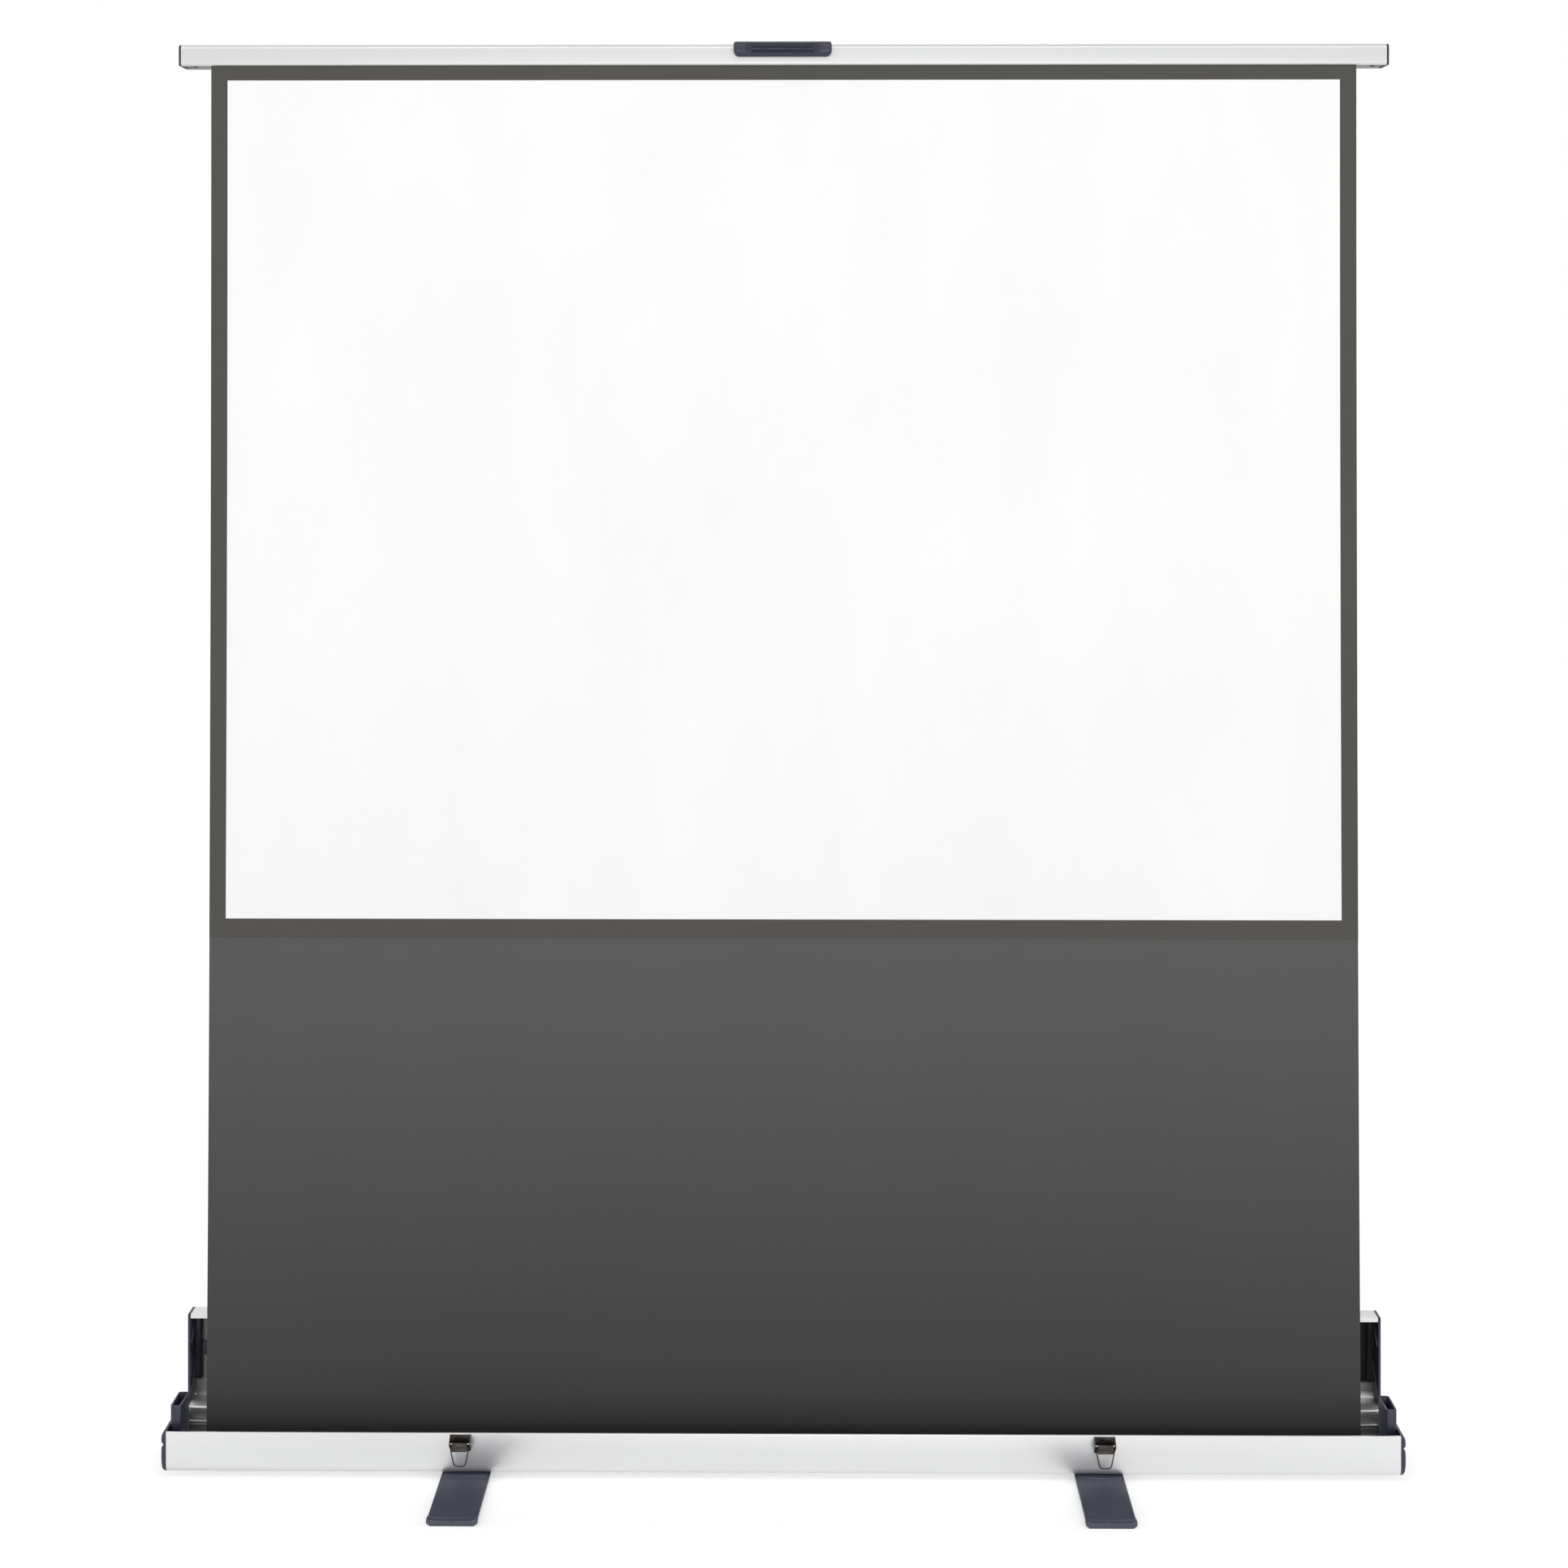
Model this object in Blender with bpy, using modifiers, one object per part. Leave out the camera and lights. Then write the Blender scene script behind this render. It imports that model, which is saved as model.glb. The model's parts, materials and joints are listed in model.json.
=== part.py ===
"""Portable floor projector screen, raised on its crossing arms with the case lid open.

X runs along the case, -Y is the side that the picture is seen from, +Z is up. The origin is on the
floor under the middle of the case. Lengths are in metres.
"""

import math

import bmesh
import bpy
from mathutils import Matrix, Vector

# Fabric
IMAGE_WIDTH = 1.620
IMAGE_HEIGHT = 1.220
IMAGE_BOTTOM = 0.788
SIDE_BORDER = 0.024
TOP_BORDER = 0.021
BOTTOM_BORDER = 0.027
FABRIC_THICKNESS = 0.0006

# Clearances
SEAT_GAP = 0.0003
RUNNING_GAP = 0.0008
OVERRUN = 0.005

# Feet
FOOT_LENGTH = 0.4095
FOOT_WIDTH = 0.069
FOOT_THICKNESS = 0.0095
FOOT_SPACING = 0.904
FOOT_EDGE_CHAMFER = 0.0055
FOOT_CHAMFER_HEIGHT = 0.004
FOOT_CAP_LENGTH = 0.012
FOOT_CAP_LIP = 0.0012
FOOT_CAP_WALL = 0.0016
FOOT_CAP_DISH = 0.0022
FOOT_DISH = 0.0012
FOOT_PAD_INSET = 0.004
FOOT_PAD_OVERHANG = 0.003
FOOT_PAD_EDGE = 0.001
FOOT_PIVOT_RADIUS = 0.005
FOOT_PIVOT_HEAD_RADIUS = 0.010
FOOT_PIVOT_HEAD = 0.0025
FOOT_GAP = 0.0005

# Case trough
CASE_SIDE_MARGIN = 0.046
CASE_DEPTH = 0.1335
CASE_WALL = 0.002
CASE_CORNER = 0.012
CASE_REAR_CORNER = 0.009
FRONT_WALL_TOP = 0.069
FRONT_RIM_WIDTH = 0.0036
FRONT_RIM_HEIGHT = 0.004
HINGE_HEIGHT = 0.047
HINGE_INSET = 0.00175
BEAD_RADIUS = 0.0032
BEAD_NECK = 0.0024
CLAW_WALL = 0.0023
FLOOR_RIB_HEIGHT = 0.003
FLOOR_RIB_WIDTH = 0.0016
SCREW_PORT_RADIUS = 0.0036
SCREW_PORT_BORE = 0.0019
SCREW_PORT_MOUTH = 0.0016

# Case end caps and the blocks that hold the roller
CAP_FLANGE = 0.0067
CAP_WALL = 0.0048
CAP_RIM = 0.0024
CAP_GROOVE_HEIGHT = 0.0415
CAP_GROOVE_DEPTH = 0.003
CAP_TOP_CHAMFER = 0.0045
BLOCK_WIDTH = 0.016
BLOCK_FRONT = -0.04475
BLOCK_REAR = 0.00625
BLOCK_TOP = 0.097
BLOCK_WALL = 0.0025
BLOCK_RECESS_DEPTH = 0.034
BLOCK_STEP_DEPTH = 0.014
BLOCK_CORNER = 0.004

# Roller
ROLLER_Y = -0.035
ROLLER_Z = 0.037
ROLLER_RADIUS = 0.0145
ROLLER_WALL = 0.0015
ROLLER_END_PLAY = 0.003
WRAP_THICKNESS = 0.0012
PLUG_LENGTH = 0.030
PLUG_RIM = 0.003
IDLE_PIN_RADIUS = 0.004
IDLE_PIN_SEAT = 0.009
ROLLER_SPRING_TURNS = 14
ROLLER_SPRING_WIRE = 0.0014
ROLLER_SPRING_RADIUS = 0.0105
ROLLER_SPRING_LENGTH = 0.22
SPRING_SEAT_LENGTH = 0.012

# Crossing arms
ARM_LEAN = math.radians(17.03)
ARM_WIDTH = 0.020
ARM_THICKNESS = 0.0075
ARM_WEB = 0.002
ARM_FLANGE = 0.0018
ARM_FRONT = 0.016
ARM_PAIR_GAP = 0.0008
ARM_CROSS_GAP = 0.0024
BASE_PIVOT_X = 0.200
BASE_PIVOT_Z = 0.030
PIVOT_RADIUS = 0.004
PIVOT_HEAD_RADIUS = 0.0075
PIVOT_HEAD = 0.0014
EAR_THICKNESS = 0.0025
EAR_RADIUS = 0.010
EAR_FOOT_SHARE = 0.7
EAR_ROUND_SHARE = 0.8
BRACKET_BASE = 0.0022
BRACKET_LENGTH = 0.060
ARM_SPRING_TURNS = 5
ARM_SPRING_WIRE = 0.0016
ARM_SPRING_RADIUS = 0.0068
ARM_SPRING_LEG = 0.045

# Top bar
BAR_SIDE_MARGIN = 0.0465
BAR_HEIGHT = 0.031
BAR_FRONT = 0.0075
BAR_REAR = 0.0555
BAR_WALL = 0.0016
BAR_FRONT_RADIUS = 0.0065
BAR_REAR_RADIUS = 0.003
BAR_CAP_THICKNESS = 0.003
SLOT_BOSS_RADIUS = 0.0044
SLOT_RADIUS = 0.0029
SLOT_MOUTH = 0.0016
HEM_ROD_RADIUS = 0.0023
TOP_PIVOT_RISE = 0.009

# Pull handle
HANDLE_LENGTH = 0.1425
HANDLE_HEIGHT = 0.0225
HANDLE_DEPTH = 0.0125
HANDLE_RISE = 0.0034
HANDLE_LIP = 0.016
HANDLE_END_RADIUS = 0.0085
HANDLE_ROUND_SHARE = 0.6
GRIP_LENGTH = 0.100
GRIP_SLANT = 0.009
GRIP_DEPTH = 0.0095

# Lid
LID_OVERHANG = 0.003
LID_TOP = 0.108
LID_WALL = 0.0020
LID_REAR_RADIUS = 0.014
LID_FRONT_RADIUS = 0.010
LID_LIP_GAP = 0.0005
LID_LIP_WIDTH = 0.0065
LID_LIP_RETURN = 0.0022
LID_STEP_DEPTH = 0.0025
LID_STEP_WIDTH = 0.022
LID_BULGE_HEIGHT = 0.0035
LID_BULGE_LOW = 0.008
LID_BULGE_HIGH = 0.036
LID_CAP_THICKNESS = 0.0037
LID_SPIGOT_DEPTH = 0.010
LID_SPIGOT_HEIGHT = 0.0065
LID_RIB = 0.0012
LID_BEAD_RADIUS = 0.0028
LID_TONGUE_WIDTH = 0.0195
LID_TONGUE_LENGTH = 0.120
LID_TONGUE_THICKNESS = 0.0035
LID_TONGUE_Y = -0.014
LID_PAD_WIDTH = 0.045
LID_PAD_THICKNESS = 0.005
LID_PAD_FLANGE = 0.0012

# Latches and catches
LATCH_SPACING = 0.918
LATCH_WIDTH = 0.030
LATCH_PLATE_TOP = 0.067
LATCH_PLATE_HEIGHT = 0.023
LATCH_PLATE = 0.0012
LATCH_EAR_DEPTH = 0.0085
LATCH_EAR_WALL = 0.0012
LATCH_PIN_RADIUS = 0.0013
LATCH_PIN_DROP = 0.0105
LATCH_PIN_STANDOFF = 0.0055
LATCH_HEM_WIDTH = 0.014
LATCH_HEM_HEIGHT = 0.0025
LATCH_HEM_DEPTH = 0.001
LEVER_WIDTH = 0.0215
LEVER_WALL = 0.0012
LEVER_LENGTH = 0.0135
BAIL_WIRE = 0.0020
BAIL_DRAW_IN = 0.003
BAIL_DROP = 0.027
BAIL_STRAIGHT = 0.007
BAIL_CORNER = 0.005
BAIL_PIVOT_DROP = 0.0035
BAIL_PIVOT_OUT = 0.0030
CATCH_WIDTH = 0.022
CATCH_HEIGHT = 0.014
CATCH_PLATE = 0.0012
CATCH_HOOK = 0.0045

# Carry handle
CARRY_LENGTH = 0.160
CARRY_DROP = 0.034
CARRY_BAR = 0.008
CARRY_PIN_RADIUS = 0.003
LUG_WIDTH = 0.014
LUG_HEIGHT = 0.020
LUG_DEPTH = 0.010

# Facets
ARC_STEP = math.radians(22.5)
ROUND_SIDES = 16
FINE_SIDES = 28
PIN_SIDES = 12
TURN_POINTS = 8

FABRIC_WIDTH = IMAGE_WIDTH + 2 * SIDE_BORDER
CASE_HALF = FABRIC_WIDTH / 2 + CASE_SIDE_MARGIN
BAR_HALF = FABRIC_WIDTH / 2 + BAR_SIDE_MARGIN
LID_HALF = CASE_HALF + LID_OVERHANG
DEPTH_HALF = CASE_DEPTH / 2
CASE_BOTTOM = FOOT_THICKNESS + FOOT_GAP
CASE_FLOOR = CASE_BOTTOM + CASE_WALL
HINGE_Y = DEPTH_HALF - HINGE_INSET
CLAW_INNER = BEAD_RADIUS + SEAT_GAP
CLAW_OUTER = CLAW_INNER + CLAW_WALL
BAR_BOTTOM = IMAGE_BOTTOM + IMAGE_HEIGHT + TOP_BORDER
SEAM_HEIGHT = IMAGE_BOTTOM - BOTTOM_BORDER
TOP_PIVOT_Z = BAR_BOTTOM + TOP_PIVOT_RISE
ARM_LENGTH = (TOP_PIVOT_Z - BASE_PIVOT_Z) / 2 / math.cos(ARM_LEAN)
CAP_FACE = CASE_HALF + CAP_FLANGE
CAP_INNER = CAP_FACE - CAP_WALL
BLOCK_INNER = CASE_HALF - BLOCK_WIDTH
ROLLER_HALF = BLOCK_INNER - ROLLER_END_PLAY - PLUG_RIM
SIDES = ((-1, "left"), (1, "right"))

parts = None
cutters = None


def clear_scene():
    global parts, cutters
    for obj in list(bpy.data.objects):
        bpy.data.objects.remove(obj, do_unlink=True)
    parts = bpy.data.collections.new("projector_screen")
    cutters = bpy.data.collections.new("cutters")
    for collection in (parts, cutters):
        bpy.context.scene.collection.children.link(collection)


def material(name, colour, roughness, metallic=0.0):
    made = bpy.data.materials.get(name)
    if made is None:
        made = bpy.data.materials.new(name)
        made.use_nodes = True
        shader = made.node_tree.nodes["Principled BSDF"]
        shader.inputs["Base Color"].default_value = (*colour, 1)
        shader.inputs["Roughness"].default_value = roughness
        shader.inputs["Metallic"].default_value = metallic
        made.diffuse_color = (*colour, 1)
    return made


def aluminium():
    return material("satin_aluminium", (0.74, 0.75, 0.76), 0.38, 0.9)


def navy():
    return material("navy_plastic", (0.028, 0.034, 0.075), 0.42)


def black_plastic():
    return material("black_plastic", (0.012, 0.012, 0.013), 0.6)


def gunmetal():
    return material("gunmetal", (0.11, 0.10, 0.095), 0.32, 0.95)


def steel():
    return material("zinc_steel", (0.55, 0.55, 0.56), 0.35, 0.95)


def arm_paint():
    return material("black_steel", (0.03, 0.03, 0.032), 0.45, 0.4)


def white_fabric():
    return material("white_fabric", (0.93, 0.93, 0.92), 0.85)


def black_fabric():
    return material("black_fabric", (0.055, 0.056, 0.055), 0.8)


def corner_points(before, corner, after, radius):
    """The arc that rounds one corner of an outline, or the corner itself where the radius is nothing."""
    if radius <= 0:
        return [corner]
    back = (Vector(before) - Vector(corner)).normalized()
    ahead = (Vector(after) - Vector(corner)).normalized()
    half = back.angle(ahead) / 2
    reach = radius / math.tan(half)
    middle = (back + ahead).normalized() * (radius / math.sin(half)) + Vector(corner)
    first = Vector(corner) + back * reach - middle
    last = Vector(corner) + ahead * reach - middle
    turn = math.atan2(first.x * last.y - first.y * last.x, first.dot(last))
    steps = max(1, round(abs(turn) / ARC_STEP))
    start = math.atan2(first.y, first.x)
    angles = [start + turn * i / steps for i in range(steps + 1)]
    return [(middle.x + radius * math.cos(a), middle.y + radius * math.sin(a)) for a in angles]


def rounded(corners):
    """An outline through (u, v, radius) corners, each rounded by its own radius."""
    points = []
    count = len(corners)
    for i, (u, v, radius) in enumerate(corners):
        before = corners[i - 1][:2]
        after = corners[(i + 1) % count][:2]
        points.extend(corner_points(before, (u, v), after, radius))
    return points


def rectangle(u0, v0, u1, v1, radius=0.0):
    return rounded([(u0, v0, radius), (u1, v0, radius), (u1, v1, radius), (u0, v1, radius)])


def circle(u, v, radius, sides=ROUND_SIDES):
    turns = [2 * math.pi * i / sides for i in range(sides)]
    return [(u + radius * math.cos(a), v + radius * math.sin(a)) for a in turns]


def arc(u, v, radius, first, last):
    steps = max(1, round(abs(last - first) / ARC_STEP))
    turns = [first + (last - first) * i / steps for i in range(steps + 1)]
    return [(u + radius * math.cos(a), v + radius * math.sin(a)) for a in turns]


def stadium(u0, v0, u1, v1, radius):
    """A long outline with a half circle round each of two points."""
    along = math.atan2(v1 - v0, u1 - u0)
    square = math.pi / 2
    far = arc(u1, v1, radius, along - square, along + square)
    near = arc(u0, v0, radius, along + square, along + 3 * square)
    return far + near


PLANES = {
    "YZ": Matrix(((0, 0, 1, 0), (1, 0, 0, 0), (0, 1, 0, 0), (0, 0, 0, 1))),
    "XZ": Matrix(((1, 0, 0, 0), (0, 0, -1, 0), (0, 1, 0, 0), (0, 0, 0, 1))),
    "XY": Matrix.Identity(4),
}
NORMALS = {"YZ": Vector((1, 0, 0)), "XZ": Vector((0, 1, 0)), "XY": Vector((0, 0, 1))}


def place(mesh, name, finish, smooth=True):
    obj = bpy.data.objects.new(name, mesh)
    parts.objects.link(obj)
    mesh.materials.clear()
    if finish:
        mesh.materials.append(finish)
    if smooth:
        mesh.shade_smooth()
        mesh.set_sharp_from_angle(angle=math.radians(30))
    return obj


def mesh_of(obj):
    """The evaluated mesh of an object in world space, closed and facing out. The object is removed."""
    graph = bpy.context.evaluated_depsgraph_get()
    graph.update()
    mesh = bpy.data.meshes.new_from_object(obj.evaluated_get(graph))
    mesh.transform(obj.matrix_world)
    bm = bmesh.new()
    bm.from_mesh(mesh)
    bmesh.ops.remove_doubles(bm, verts=bm.verts, dist=0.000005)
    bmesh.ops.recalc_face_normals(bm, faces=bm.faces)
    bm.to_mesh(mesh)
    bm.free()
    bpy.data.objects.remove(obj, do_unlink=True)
    return mesh


def prism(name, outline, plane, low, high, finish=None, holes=()):
    """A flat outline, with any holes, extruded between two distances along the third axis."""
    curve = bpy.data.curves.new(name, "CURVE")
    curve.dimensions = "2D"
    curve.fill_mode = "BOTH"
    curve.extrude = (high - low) / 2
    for ring in (outline, *holes):
        spline = curve.splines.new("POLY")
        spline.points.add(len(ring) - 1)
        for point, (u, v) in zip(spline.points, ring):
            point.co = (u, v, 0, 1)
        spline.use_cyclic_u = True
    shape = bpy.data.objects.new(name, curve)
    parts.objects.link(shape)
    shape.matrix_world = Matrix.Translation(NORMALS[plane] * (low + high) / 2) @ PLANES[plane]
    bpy.context.view_layer.update()
    return place(mesh_of(shape), name, finish)


def box(name, low, high, finish=None, radius=0.0):
    """A box between two corners, its upright edges rounded where a radius is given."""
    return prism(name, rectangle(low[0], low[1], high[0], high[1], radius), "XY", low[2], high[2], finish)


AXES = {
    "X": Matrix.Rotation(math.pi / 2, 4, "Y"),
    "Y": Matrix.Rotation(-math.pi / 2, 4, "X"),
    "Z": Matrix.Identity(4),
}


def turned(name, profile, axis, origin, finish=None, sides=ROUND_SIDES):
    """A solid of revolution from (radius, height) points listed down its outer side, top to bottom."""
    mesh = bpy.data.meshes.new(name)
    count = len(profile)
    closed = profile[0][0] > 0
    edges = [(i, i + 1) for i in range(count - 1)]
    if closed:
        edges.append((count - 1, 0))
    mesh.from_pydata([(r, 0, h) for r, h in profile], edges, [])
    shape = bpy.data.objects.new(name, mesh)
    parts.objects.link(shape)
    screw = shape.modifiers.new("turn", "SCREW")
    screw.steps = sides
    screw.render_steps = sides
    screw.use_merge_vertices = True
    screw.merge_threshold = 0.00002
    shape.matrix_world = Matrix.Translation(origin) @ AXES[axis]
    bpy.context.view_layer.update()
    return place(mesh_of(shape), name, finish)


def rod(name, radius, axis, origin, low, high, finish=None, sides=ROUND_SIDES):
    """A round bar between two distances along an axis through the origin given."""
    mesh = bpy.data.meshes.new(name)
    bm = bmesh.new()
    bmesh.ops.create_cone(
        bm, cap_ends=True, segments=sides, radius1=radius, radius2=radius, depth=high - low
    )
    shift = Matrix.Translation((0, 0, (low + high) / 2))
    bm.transform(Matrix.Translation(origin) @ AXES[axis] @ shift)
    bm.to_mesh(mesh)
    bm.free()
    return place(mesh, name, finish)


def wire(name, points, radius, finish=None, resolution=1):
    """A round wire through a list of points, with its ends filled."""
    curve = bpy.data.curves.new(name, "CURVE")
    curve.dimensions = "3D"
    curve.bevel_depth = radius
    curve.bevel_resolution = resolution
    curve.use_fill_caps = True
    spline = curve.splines.new("POLY")
    spline.points.add(len(points) - 1)
    for point, place_at in zip(spline.points, points):
        point.co = (*place_at, 1)
    shape = bpy.data.objects.new(name, curve)
    parts.objects.link(shape)
    bpy.context.view_layer.update()
    return place(mesh_of(shape), name, finish)


def combine(target, operation, tools):
    for tool in tools:
        for collection in list(tool.users_collection):
            collection.objects.unlink(tool)
        cutters.objects.link(tool)
        tool.hide_render = True
        tool.display_type = "WIRE"
        boolean = target.modifiers.new(tool.name, "BOOLEAN")
        boolean.operation = operation
        boolean.solver = "EXACT"
        boolean.object = tool
    return target


def cut(target, *tools):
    return combine(target, "DIFFERENCE", tools)


def join(target, *tools):
    return combine(target, "UNION", tools)


def span(side, inner, outer):
    """Two distances from the middle, on one side, in rising order."""
    return sorted((side * inner, side * outer))


def turned_outwards(name, profile, side, y, z, finish=None, sides=ROUND_SIDES):
    """A solid of revolution along X, its profile listed from the outer end to the inner one."""
    if side < 0:
        profile = [(r, -h) for r, h in reversed(profile)]
    return turned(name, profile, "X", (0, y, z), finish, sides)


def sharp(points):
    return [(u, v, 0) for u, v in points]


def screw_port(name, y, z, facing):
    """An open round channel, along the extrusion, that takes an end cap's screw."""
    half = math.asin(SCREW_PORT_MOUTH / 2 / SCREW_PORT_BORE)
    outer = arc(y, z, SCREW_PORT_RADIUS, facing + half, facing + 2 * math.pi - half)
    inner = arc(y, z, SCREW_PORT_BORE, facing + 2 * math.pi - half, facing + half)
    return prism(name, outer + inner, "YZ", SEAT_GAP - CASE_HALF, CASE_HALF - SEAT_GAP)


def case_trough():
    front, rear = -DEPTH_HALF, DEPTH_HALF
    rear_top = HINGE_HEIGHT - CLAW_OUTER - CASE_WALL
    neck = math.asin(BEAD_NECK / 2 / BEAD_RADIUS)
    down = -math.pi / 2
    bead = arc(HINGE_Y, HINGE_HEIGHT, BEAD_RADIUS, down + neck, down + 2 * math.pi - neck)
    rib_top = CASE_FLOOR + FLOOR_RIB_HEIGHT
    corners = [(front, FRONT_WALL_TOP, FRONT_RIM_WIDTH / 3), (front, CASE_BOTTOM, CASE_CORNER)]
    corners += [(rear, CASE_BOTTOM, CASE_REAR_CORNER), (rear, rear_top, CASE_WALL / 3)]
    corners += [(HINGE_Y + BEAD_NECK / 2, rear_top, 0), *sharp(bead)]
    corners += [(HINGE_Y - BEAD_NECK / 2, rear_top - 2 * CASE_WALL, 0)]
    corners += [(rear - CASE_WALL, rear_top - 3 * CASE_WALL, 0)]
    corners += [(rear - CASE_WALL, CASE_FLOOR, CASE_REAR_CORNER - CASE_WALL)]
    for y in (floor_rib_rear(), floor_rib_front()):
        corners += [(y + FLOOR_RIB_WIDTH / 2, CASE_FLOOR, 0), (y + FLOOR_RIB_WIDTH / 2, rib_top, 0)]
        corners += [(y - FLOOR_RIB_WIDTH / 2, rib_top, 0), (y - FLOOR_RIB_WIDTH / 2, CASE_FLOOR, 0)]
    corners += [(front + CASE_WALL, CASE_FLOOR, CASE_CORNER - CASE_WALL)]
    corners += [(front + CASE_WALL, FRONT_WALL_TOP - 2 * FRONT_RIM_HEIGHT, 0)]
    corners += [(front + FRONT_RIM_WIDTH, FRONT_WALL_TOP - FRONT_RIM_HEIGHT, 0)]
    corners += [(front + FRONT_RIM_WIDTH, FRONT_WALL_TOP, FRONT_RIM_WIDTH / 3)]
    trough = prism("case_trough", rounded(corners), "YZ", -CASE_HALF, CASE_HALF, aluminium())
    reach = CASE_WALL + SCREW_PORT_RADIUS - SEAT_GAP
    height = (CASE_FLOOR + HINGE_HEIGHT) / 2
    join(
        trough,
        screw_port("front_screw_port", front + reach, height, 0),
        screw_port("rear_screw_port", rear - reach, height, math.pi),
    )
    for side, label in SIDES:
        hole = rod(
            "foot_hole_" + label,
            FOOT_PIVOT_RADIUS + SEAT_GAP,
            "Z",
            (side * FOOT_SPACING / 2, 0, 0),
            CASE_BOTTOM - OVERRUN,
            CASE_FLOOR + OVERRUN,
        )
        cut(trough, hole)


def floor_rib_front():
    return ARM_FRONT - RUNNING_GAP - EAR_THICKNESS - FLOOR_RIB_WIDTH


def floor_rib_rear():
    return layer(3) + ARM_THICKNESS + RUNNING_GAP + EAR_THICKNESS + FLOOR_RIB_WIDTH


def layer(number):
    """The front face of one of the four planes that the arms swing in."""
    pairs, crossing = ((0, 0), (1, 0), (1, 1), (2, 1))[number]
    return ARM_FRONT + number * ARM_THICKNESS + pairs * ARM_PAIR_GAP + crossing * ARM_CROSS_GAP


def case_cap_outline(inset=0.0):
    """The case's end seen along X, up to the level where the lid's own cap starts."""
    front, rear = -DEPTH_HALF + inset, DEPTH_HALF - inset
    low, high = CASE_BOTTOM + inset, FRONT_WALL_TOP - inset
    shoulder = HINGE_HEIGHT - CLAW_OUTER - CASE_WALL - inset
    step = HINGE_Y - CLAW_OUTER - CASE_WALL - inset
    return rounded(
        [
            (front, high, CAP_RIM),
            (front, low, CASE_CORNER - inset),
            (rear, low, CASE_REAR_CORNER - inset),
            (rear, shoulder, CAP_RIM / 2),
            (step, shoulder, CAP_RIM / 2),
            (step, high, CAP_RIM),
        ]
    )


LOW_SWELLING_SHARES = ((0, 0.30), (0.08, 0.60), (0.22, 0.84), (0.42, 0.97), (0.62, 1), (0.90, 0.94))
HIGH_SWELLING_SHARES = ((0.16, 0.94), (0.40, 1), (0.68, 0.94), (0.88, 0.78), (1, 0.60))


def case_cap_silhouette(side):
    """The cap's bulging outer face seen from the front: two swellings with a groove between them."""
    inner = CASE_HALF - OVERRUN
    low, high = CASE_BOTTOM, FRONT_WALL_TOP
    middle = CASE_BOTTOM + CAP_GROOVE_HEIGHT
    lower = [(CASE_HALF + CAP_FLANGE * v, low + (middle - low) * u) for u, v in LOW_SWELLING_SHARES]
    upper = [(CASE_HALF + CAP_FLANGE * v, middle + (high - middle) * u) for u, v in HIGH_SWELLING_SHARES]
    points = [(inner, low - OVERRUN), (lower[0][0], low - OVERRUN), *lower]
    points += [(CAP_FACE - CAP_GROOVE_DEPTH, middle), *upper]
    points += [(upper[-1][0], high + OVERRUN), (inner, high + OVERRUN)]
    return [(side * x, z) for x, z in points]


def case_cap(side, label):
    name = "case_cap_" + label
    plate = prism(name, case_cap_outline(), "YZ", *span(side, CASE_HALF + SEAT_GAP, CAP_FACE), navy())
    swelling = prism(name + "_swelling", case_cap_silhouette(side), "XZ", -CASE_DEPTH, CASE_DEPTH)
    combine(plate, "INTERSECT", [swelling])
    pocket = prism(
        name + "_pocket", case_cap_outline(CAP_RIM), "YZ", *span(side, CASE_HALF - OVERRUN, CAP_INNER)
    )
    cut(plate, pocket)
    x0, x1 = span(side, BLOCK_INNER, CASE_HALF - SEAT_GAP)
    low = CASE_FLOOR + SEAT_GAP
    block = box(name + "_block", (x0, BLOCK_FRONT, low), (x1, BLOCK_REAR, BLOCK_TOP), None, BLOCK_CORNER)
    web0, web1 = span(side, CASE_HALF - BLOCK_WALL / 2, CAP_INNER + CAP_RIM / 2)
    web_low = (web0, BLOCK_FRONT + BLOCK_CORNER, low + CAP_RIM)
    web = box(name + "_web", web_low, (web1, BLOCK_REAR - BLOCK_CORNER, FRONT_WALL_TOP - CAP_TOP_CHAMFER))
    join(plate, block, web)
    r0, r1 = span(side, BLOCK_INNER + BLOCK_WALL, CASE_HALF - BLOCK_WALL)
    front, rear = BLOCK_FRONT + BLOCK_WALL, BLOCK_REAR - BLOCK_WALL
    step = front + (rear - front) / 3
    deep = (r0, step, BLOCK_TOP - BLOCK_RECESS_DEPTH)
    shallow = (r0 + SEAT_GAP, front, BLOCK_TOP - BLOCK_STEP_DEPTH)
    step_high = (r1 - SEAT_GAP, step + BLOCK_WALL, BLOCK_TOP + 2 * OVERRUN)
    cut(
        plate,
        box(name + "_recess", deep, (r1, rear, BLOCK_TOP + OVERRUN), None, BLOCK_WALL / 2),
        box(name + "_step", shallow, step_high),
    )
    bore_low, bore_high = span(side, BLOCK_INNER - OVERRUN, BLOCK_INNER + IDLE_PIN_SEAT + SEAT_GAP)
    bore_at = (0, ROLLER_Y, ROLLER_Z)
    cut(plate, rod(name + "_bore", IDLE_PIN_RADIUS + SEAT_GAP, "X", bore_at, bore_low, bore_high))


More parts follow.
